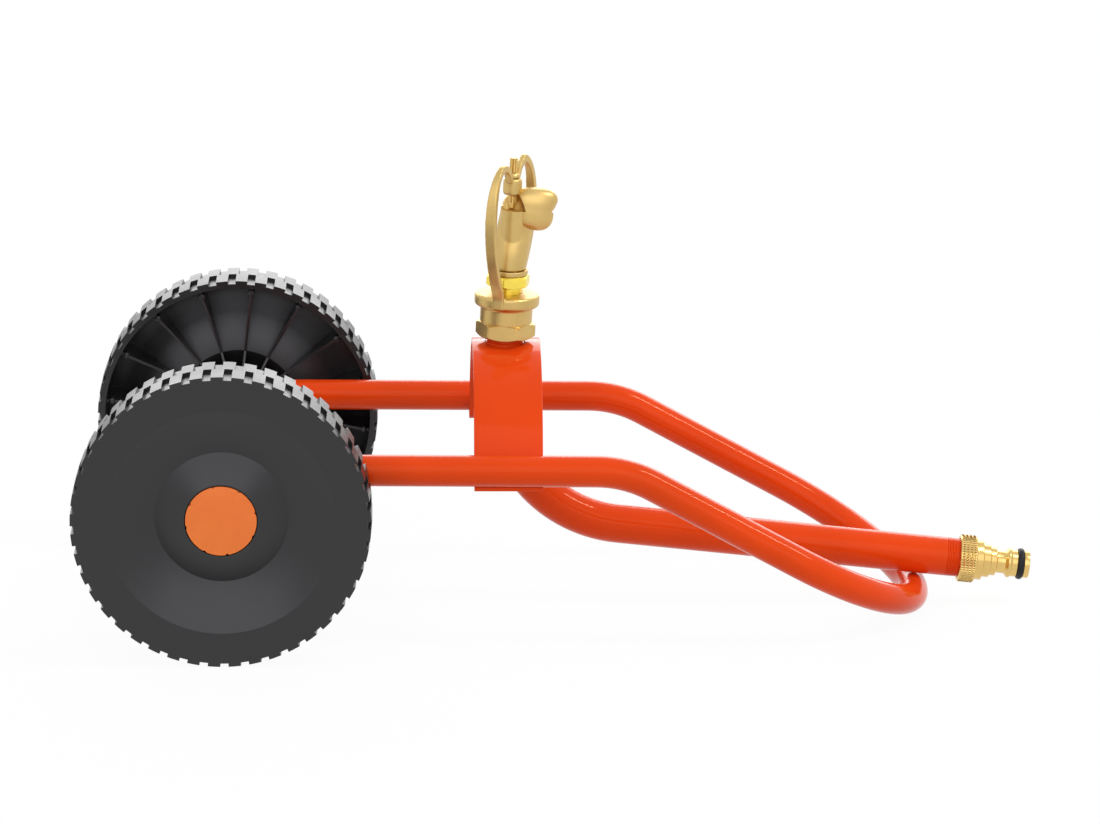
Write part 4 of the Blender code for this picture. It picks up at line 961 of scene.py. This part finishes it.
class SLED_OT_sprinkler_frame(bpy.types.Operator):
    """Cast the sprinkler frame: hexagon, neck, flange, bail and boss"""
    bl_idname = "sled.sprinkler_frame"
    bl_label = "Sprinkler Frame"

    def execute(self, context):
        lower = hexagon(0.0360, -0.0008, 0.0098, math.radians(-6.6), 0.0019)
        lower = cut_or_join(lower, [bore_tool(SOCKET_BORE)], 'DIFFERENCE')
        finished("sprinkler_frame_hexagon", lower, cast_metal(), ["sprinkler_frame"],
                 head_place(), 30)
        body = turned([(0, 0.0080), (0.01795, 0.0080), (0.01795, 0.0212), (0.0223, 0.0212),
                       (0.0223, FLANGE_TOP), (0, FLANGE_TOP)], 96, 0.0026, 6)
        for side in (1, -1):
            self.bail_leg(body, side)
        boss = turned([(0, 0.0986), (0.0065, 0.0986), (0.0065, 0.1104), (0, 0.1104)], 64, 0.0022, 5)
        take_in(body, boss)
        body = cast_as_one(body, 0.00042, 5)
        screw = bore_tool([(0.0022, 0.0950), (0.0022, 0.1150)])
        body = cut_or_join(body, [bore_tool(SOCKET_BORE), screw], 'DIFFERENCE')
        finished("sprinkler_frame_casting", body, cast_metal(), ["sprinkler_frame"],
                 head_place(), 60)
        return {'FINISHED'}

    def heading(self, height):
        """Compass direction of the front leg seen from above: it winds a little as it rises."""
        share = min(1.0, max(0.0, (height - FLANGE_TOP) / 0.0550))
        turn = math.radians(16.5 + 7.2 * share * (2 - share))
        return Vector((-math.sin(turn), -math.cos(turn), 0))

    def bail_leg(self, bm, side):
        """A rounded strap that leaves the flange, arches over and runs down into the boss."""
        foot = [(0.0213, 0.0222), (0.0214, 0.0262), (0.0221, 0.0318), (0.0262, 0.0410), (0.0299, 0.0530),
                (0.0329, 0.0670), (0.0345, 0.0810)]
        arch = [(0.0346, 0.0890), (0.0339, 0.0975), (0.0320, 0.1050), (0.0290, 0.1112), (0.0254, 0.1155),
                (0.0217, 0.1182), (0.0182, 0.1193)]
        inward = [(0.0149, 0.1190), (0.0118, 0.1176), (0.0092, 0.1153), (0.0073, 0.1124), (0.0061, 0.1099),
                  (0.0055, 0.1087)]
        lift = 0.0019 if side < 0 else 0.0
        arch = [(radius, height + lift * max(0.0, (height - 0.0950) / 0.0244)) for radius, height in arch]
        route = curve_through(foot + arch + inward, 3)
        spots = [self.heading(height) * (side * radius) + Vector((0, 0, height)) for radius, height in route]
        places = []
        for i, spot in enumerate(spots):
            along = (spots[min(i + 1, len(spots) - 1)] - spots[max(i - 1, 0)]).normalized()
            across = Z_AXIS.cross(Vector((spot.x, spot.y, 0)))
            across = (across - along * across.dot(along)).normalized()
            out = along.cross(across)
            turn = Matrix((across, out, along)).transposed().to_4x4()
            high = min(1.0, max(0.0, (spot.z - 0.0800) / 0.0390))
            wide = 0.0038 - 0.0019 * high * high
            thick = 0.0019 + 0.0005 * high
            if spot.xy.length < 0.0100:
                thick *= 0.62 + 0.38 * max(0.0, (spot.xy.length - 0.0057) / 0.0043)
            places.append(Matrix.Translation(spot) @ turn @ Matrix.Diagonal((wide, thick, 1, 1)))
        made = bmesh.ops.create_grid(bm, x_segments=1, y_segments=1, size=0.5)
        grid = made["verts"]
        reach = max(vert.co.x for vert in grid)
        size = Matrix.Diagonal((1 / reach, 1 / reach, 1, 1))
        bmesh.ops.transform(bm, matrix=places[0] @ size, verts=grid)
        end = list({face for vert in grid for face in vert.link_faces})
        first = set(grid)
        for before, after in zip(places, places[1:]):
            end = draw_out(bm, end, after @ before.inverted())
        strap = self.linked(first)
        bmesh.ops.recalc_face_normals(bm, faces=list(strap))
        long_edges = [edge for face in strap for edge in face.edges
                      if len(edge.link_faces) == 2 and edge.calc_face_angle() > math.radians(60)]
        rounded(bm, list(set(long_edges)), 0.0016, 3)

    def linked(self, seeds):
        """All faces joined to the seed vertices."""
        found, waiting = set(), list(seeds)
        seen = set(seeds)
        while waiting:
            vert = waiting.pop()
            for face in vert.link_faces:
                found.add(face)
                for other in face.verts:
                    if other not in seen:
                        seen.add(other)
                        waiting.append(other)
        return found


class SLED_OT_bearing_nut(bpy.types.Operator):
    """Turn the polished bearing nut"""
    bl_idname = "sled.bearing_nut"
    bl_label = "Bearing Nut"

    def execute(self, context):
        nut = hexagon(0.0274, 0.0350, 0.0430, math.radians(19), 0.0017)
        neck = turned([(0, 0.0222), (0.0095, 0.0222), (0.0095, 0.0360), (0, 0.0360)], 64)
        bore = bore_tool([(0.0068, 0.0200), (0.0068, 0.0450)])
        nut = cut_or_join(nut, [neck], 'UNION')
        nut = cut_or_join(nut, [bore], 'DIFFERENCE')
        finished("bearing_nut_turned", nut, nut_brass(), ["bearing_nut"], head_place(), 25)
        ring = turned([(0.0068, 0.0433), (0.0135, 0.0433), (0.0135, 0.0467), (0.0068, 0.0467)], 72, 0.0005, 3)
        finished("thrust_ring_turned", ring, cast_metal(), ["thrust_ring"], head_place(), 30)
        return {'FINISHED'}


class SLED_OT_rotor(bpy.types.Operator):
    """Cast the rotor: column, pivot boss and the snout with its slot mouth"""
    bl_idname = "sled.rotor"
    bl_label = "Rotor"

    def execute(self, context):
        bm = bmesh.new()
        column = curve_through([(0.0470, 0.0, 0.0, 0.0116, 0.0116), (0.0490, 0.0002, 0.0, 0.0119, 0.0119),
                                (0.0580, 0.0012, 0.0005, 0.0121, 0.0114),
                                (0.0660, 0.0020, 0.0017, 0.0121, 0.0108),
                                (0.0740, 0.0027, 0.0034, 0.0121, 0.0098),
                                (0.0820, 0.0040, 0.0032, 0.0121, 0.0094),
                                (0.0885, 0.0048, 0.0038, 0.0118, 0.0092),
                                (0.0945, 0.0064, 0.0044, 0.0114, 0.0086),
                                (0.0985, 0.0088, 0.0050, 0.0104, 0.0070),
                                (0.1009, 0.0108, 0.0054, 0.0080, 0.0048)], 3)
        stacked(bm, [ellipse(x, y, z, rx, ry) for z, x, y, rx, ry in column], 40)
        stacked(bm, [ellipse(0.0017, 0, z, 0.0089, 0.0089) for z in (0.0600, 0.0700, 0.0850, 0.0905)], 48)
        snout = curve_through([(0.0744, 0.0155, 0.0198, 0.0022), (0.0750, 0.0140, 0.0226, 0.0045),
                               (0.0759, 0.0120, 0.0248, 0.0062), (0.0775, 0.0070, 0.0266, 0.0078),
                               (0.0795, 0.0010, 0.0279, 0.0088), (0.0826, -0.0010, 0.0288, 0.0096),
                               (0.0858, -0.0010, 0.0290, 0.0098), (0.0884, -0.0010, 0.0290, 0.0098),
                               (0.0902, -0.0010, 0.0296, 0.0096), (0.0928, -0.0010, 0.0307, 0.0094),
                               (0.0954, -0.0010, 0.0315, 0.0090), (0.0986, 0.0000, 0.0308, 0.0080),
                               (0.1012, 0.0030, 0.0287, 0.0066), (0.1028, 0.0060, 0.0255, 0.0048),
                               (0.1035, 0.0090, 0.0222, 0.0030), (0.1038, 0.0130, 0.0190, 0.0012)], 3)
        stacked(bm, [ellipse((left + right) / 2, 0.0012, z, (right - left) / 2, half)
                     for z, left, right, half in snout], 48)
        face_outward(bm)
        bm = cast_as_one(bm, 0.00040, 3)
        pocket = bmesh.new()
        scoop = curve_through([(0.0885, -0.0010, 0.0108, 0.0098), (0.0930, -0.0017, 0.0101, 0.0106),
                               (0.0980, -0.0027, 0.0090, 0.0118), (0.1060, -0.0042, 0.0072, 0.0142),
                               (0.1160, -0.0050, 0.0062, 0.0160)], 3)
        stacked(pocket, [ellipse(x, -0.0090, z, rx, ry) for z, x, rx, ry in scoop], 48)
        face_outward(pocket)
        duct = bore_tool([(0.0068, 0.0450), (0.0068, 0.0563), (0.0048, 0.0563), (0.0048, 0.0783)])
        rise = math.atan2(0.0140, 0.0315)
        slot = bmesh.new()
        middle = Vector((0.0197 * math.cos(rise), 0.0012, 0.0753 + 0.0197 * math.sin(rise)))
        bmesh.ops.create_cube(slot, size=1.0, matrix=Matrix.Translation(middle)
                              @ Matrix.Rotation(-rise, 4, 'Y') @ Matrix.Diagonal((0.0394, 0.0070, 0.0026, 1)))
        bm = cut_or_join(bm, [pocket, duct, slot], 'DIFFERENCE')
        finished("rotor_body_casting", bm, cast_metal(), ["rotor_body"], head_place(), 40)
        return {'FINISHED'}


def fluted_pin(bm, radius, low, high, flutes, depth):
    """Knurled pin: rounded ridges with valleys between them."""
    made = bmesh.ops.create_circle(bm, cap_ends=True, segments=flutes * 6, radius=radius,
                                   matrix=Matrix.Translation((0, 0, low)))
    for vert in made["verts"]:
        turn = math.atan2(vert.co.y, vert.co.x) * flutes
        vert.co.xy = vert.co.xy * (1 - depth / radius * max(0.0, -math.cos(turn)))
    end = list({face for vert in made["verts"] for face in vert.link_faces})
    draw_out(bm, end, Vector((0, 0, high - low)))


class SLED_OT_adjuster(bpy.types.Operator):
    """Turn the adjusting screw, its collar and the pivot bush"""
    bl_idname = "sled.adjuster"
    bl_label = "Adjusting Screw"

    def execute(self, context):
        place = head_place()
        screw = bmesh.new()
        fluted_pin(screw, 0.0027, 0.1144, 0.1244, 9, 0.0007)
        shank = disc(screw, 0.0018, Matrix.Translation((0, 0, 0.0948)), 24)
        draw_out(screw, shank, Vector((0, 0, 0.0206)))
        finished("adjusting_screw_turned", screw, head_brass(), ["adjusting_screw"],
                 place, 30)
        collar = turned([(0.0021, 0.1107), (0.0046, 0.1107), (0.0046, 0.1126), (0.0031, 0.1141),
                         (0.0021, 0.1141)], 48, 0.0004, 3)
        finished("screw_collar_turned", collar, cast_metal(), ["screw_collar"], place)
        bush = bmesh.new()
        fluted_pin(bush, 0.0029, 0.0934, 0.0978, 9, 0.0007)
        tip = disc(bush, 0.0013, Matrix.Translation((0, 0, 0.0888)), 24)
        grow = Matrix.Translation((0, 0, 0.0897)) @ Matrix.Diagonal((1.62, 1.62, 1, 1))
        tip = draw_out(bush, tip, grow @ Matrix.Translation((0, 0, -0.0888)))
        draw_out(bush, tip, Vector((0, 0, 0.0042)))
        finished("pivot_bush_turned", bush, head_brass(), ["pivot_bush"], place, 30)
        return {'FINISHED'}


class SLED_OT_hidden_parts(bpy.types.Operator):
    """Give the inner pieces that keep their CAD shape their finishes"""
    bl_idname = "sled.hidden_parts"
    bl_label = "Inner Pieces"

    def execute(self, context):
        for node, look in (("rotor_spindle", head_brass()), ("spindle_seal", nylon()),
                           ("inlet_washer", rubber())):
            piece = frame["nodes"][node]
            for slot in piece.material_slots:
                slot.material = look
        return {'FINISHED'}


def softbox(name, direction, distance, width, height, radiance, along=Z_AXIS, tint=(1, 1, 1)):
    """Area lamp that faces the sled. Width and height are metres, radiance is its brightness."""
    lamp = bpy.data.lights.new(name, 'AREA')
    lamp.shape = 'RECTANGLE'
    lamp.size = width
    lamp.size_y = height
    lamp.energy = radiance * math.pi * width * height
    lamp.color = tint
    holder = bpy.data.objects.new(name, lamp)
    back = Vector(direction).normalized()
    side = along.cross(back).normalized()
    up = back.cross(side).normalized()
    turn = Matrix((side, up, back)).transposed().to_4x4()
    sled_middle = Vector((0, 0, 0.12))
    holder.matrix_world = Matrix.Translation(sled_middle + back * distance) @ turn
    holder.visible_camera = False
    bpy.context.scene.collection.objects.link(holder)


def maths(tree, operation, first, second):
    return add_node(tree, "Math", {0: first, 1: second}, operation=operation).outputs[0]


def paper_white(tree, share):
    """Factor that is 1 for rays that see the studio itself: camera, glossy and clear ones."""
    path = add_node(tree, "LightPath").outputs
    seen = maths(tree, 'MAXIMUM', path["Is Camera Ray"], path["Is Glossy Ray"])
    seen = maths(tree, 'MAXIMUM', seen, path["Is Transmission Ray"])
    return maths(tree, 'MULTIPLY', seen, share)


class SLED_OT_studio(bpy.types.Operator):
    """Lay the paper floor, hang the lamps and set up the camera"""
    bl_idname = "sled.studio"
    bl_label = "Studio"

    def execute(self, context):
        self.floor()
        self.world()
        ahead = direction_down(sizes().arm_slope)
        softbox("key_strip", (0.59, -0.12, 0.80), 3.0, 0.28, 0.95, 28.0,
                along=-ahead.cross(Y_AXIS).cross(Y_AXIS))
        softbox("back_softbox", (0.0, 1.0, 0.42), 4.0, 5.0, 2.4, 2.4)
        softbox("front_softbox", (-0.1, -1.0, 0.60), 3.6, 5.0, 2.5, 0.95, tint=(0.95, 0.94, 1.0))
        self.camera()
        context.scene.view_settings.view_transform = 'Standard'
        return {'FINISHED'}

    def floor(self):
        bm = bmesh.new()
        bmesh.ops.create_grid(bm, x_segments=8, y_segments=8, size=1.0,
                              matrix=Matrix.Translation((0, 0, -0.0004)) @ Matrix.Scale(9.0, 4))
        floor = as_object("paper_floor", bm)
        look, tree, shader = start_finish("floor_paper", tuple(colours().floor), 0.9)
        shader.inputs["Specular IOR Level"].default_value = 0.0
        weave = speckle(tree, object_point(tree), 40.0, 2.0)
        paper = blend_colours(tree, spread(tree, weave, 0.3, 0.7, 0.0, 1.0), (0.90, 0.90, 0.90),
                              (0.93, 0.93, 0.93))
        bounce = blend_colours(tree, paper_white(tree, 1.0), (0.60, 0.60, 0.60), paper)
        tree.links.new(bounce, shader.inputs["Base Color"])
        glow = add_node(tree, "Emission", {"Color": (1, 1, 1, 1), "Strength": 1.0})
        mix = add_node(tree, "MixShader", {0: paper_white(tree, 0.95), 1: shader.outputs[0],
                                           2: glow.outputs[0]})
        tree.links.new(mix.outputs[0], tree.nodes["Material Output"].inputs["Surface"])
        floor.data.materials.append(look)

    def world(self):
        world = bpy.data.worlds.new("studio_air")
        world.use_nodes = True
        tree = world.node_tree
        plain = tree.nodes["Background"]
        plain.inputs["Color"].default_value = (0.97, 0.98, 1.0, 1)
        plain.inputs["Strength"].default_value = 0.70
        paper = add_node(tree, "Background", {"Color": (1, 1, 1, 1), "Strength": 1.0})
        mix = add_node(tree, "MixShader", {0: paper_white(tree, 1.0), 1: plain.outputs[0],
                                           2: paper.outputs[0]})
        tree.links.new(mix.outputs[0], tree.nodes["World Output"].inputs["Surface"])
        bpy.context.scene.world = world

    def camera(self):
        turn, lift, roll = math.radians(-1.29009), math.radians(14.87567), math.radians(0.6352)
        target, distance = AXLE + Vector((0.220669, 0, 0.03558)), 3.406767
        sensor, focal_pixels, frame_pixels = 36.0, 4928.126, 1100.0
        back = Vector((math.sin(turn) * math.cos(lift), -math.cos(turn) * math.cos(lift), math.sin(lift)))
        right = Z_AXIS.cross(back).normalized()
        up = back.cross(right)
        tilted_right = right * math.cos(roll) + up * math.sin(roll)
        tilted_up = up * math.cos(roll) - right * math.sin(roll)
        lens = bpy.data.cameras.new("photo_camera")
        lens.sensor_fit = 'HORIZONTAL'
        lens.sensor_width = sensor
        lens.lens = sensor * focal_pixels / frame_pixels
        lens.clip_start = 0.1
        lens.clip_end = 50.0
        camera = bpy.data.objects.new("photo_camera", lens)
        pose = Matrix((tilted_right, tilted_up, back)).transposed().to_4x4()
        camera.matrix_world = Matrix.Translation(target + back * distance) @ pose
        bpy.context.scene.collection.objects.link(camera)
        bpy.context.scene.camera = camera


PIECES = (SLED_OT_frame_tube, SLED_OT_riser_bracket, SLED_OT_supply_pipe, SLED_OT_axle, SLED_OT_wheels,
          SLED_OT_hub_caps, SLED_OT_tube_plugs, SLED_OT_hose_nipple, SLED_OT_sprinkler_frame,
          SLED_OT_bearing_nut, SLED_OT_rotor, SLED_OT_adjuster, SLED_OT_hidden_parts, SLED_OT_studio)


class SLED_PT_panel(bpy.types.Panel):
    """Sidebar panel with one button for each group of pieces"""
    bl_idname = "SLED_PT_panel"
    bl_label = "Sprinkler Sled"
    bl_space_type = 'VIEW_3D'
    bl_region_type = 'UI'
    bl_category = "Sled"

    def draw(self, context):
        column = self.layout.column(align=True)
        for piece in PIECES:
            column.operator(piece.bl_idname)


CLASSES = (SledSizes, SledColours) + PIECES + (SLED_PT_panel,)


def register():
    for kind in CLASSES:
        bpy.utils.register_class(kind)
    bpy.types.Scene.sled_sizes = PointerProperty(type=SledSizes)
    bpy.types.Scene.sled_colours = PointerProperty(type=SledColours)


def unregister():
    del bpy.types.Scene.sled_colours
    del bpy.types.Scene.sled_sizes
    for kind in reversed(CLASSES):
        bpy.utils.unregister_class(kind)


def main():
    register()
    bpy.ops.sled.frame_tube()
    bpy.ops.sled.riser_bracket()
    bpy.ops.sled.supply_pipe()
    bpy.ops.sled.axle()
    bpy.ops.sled.wheels()
    bpy.ops.sled.hub_caps()
    bpy.ops.sled.tube_plugs()
    bpy.ops.sled.hose_nipple()
    bpy.ops.sled.sprinkler_frame()
    bpy.ops.sled.bearing_nut()
    bpy.ops.sled.rotor()
    bpy.ops.sled.adjuster()
    bpy.ops.sled.hidden_parts()
    bpy.ops.sled.studio()


if __name__ == "__main__":
    main()
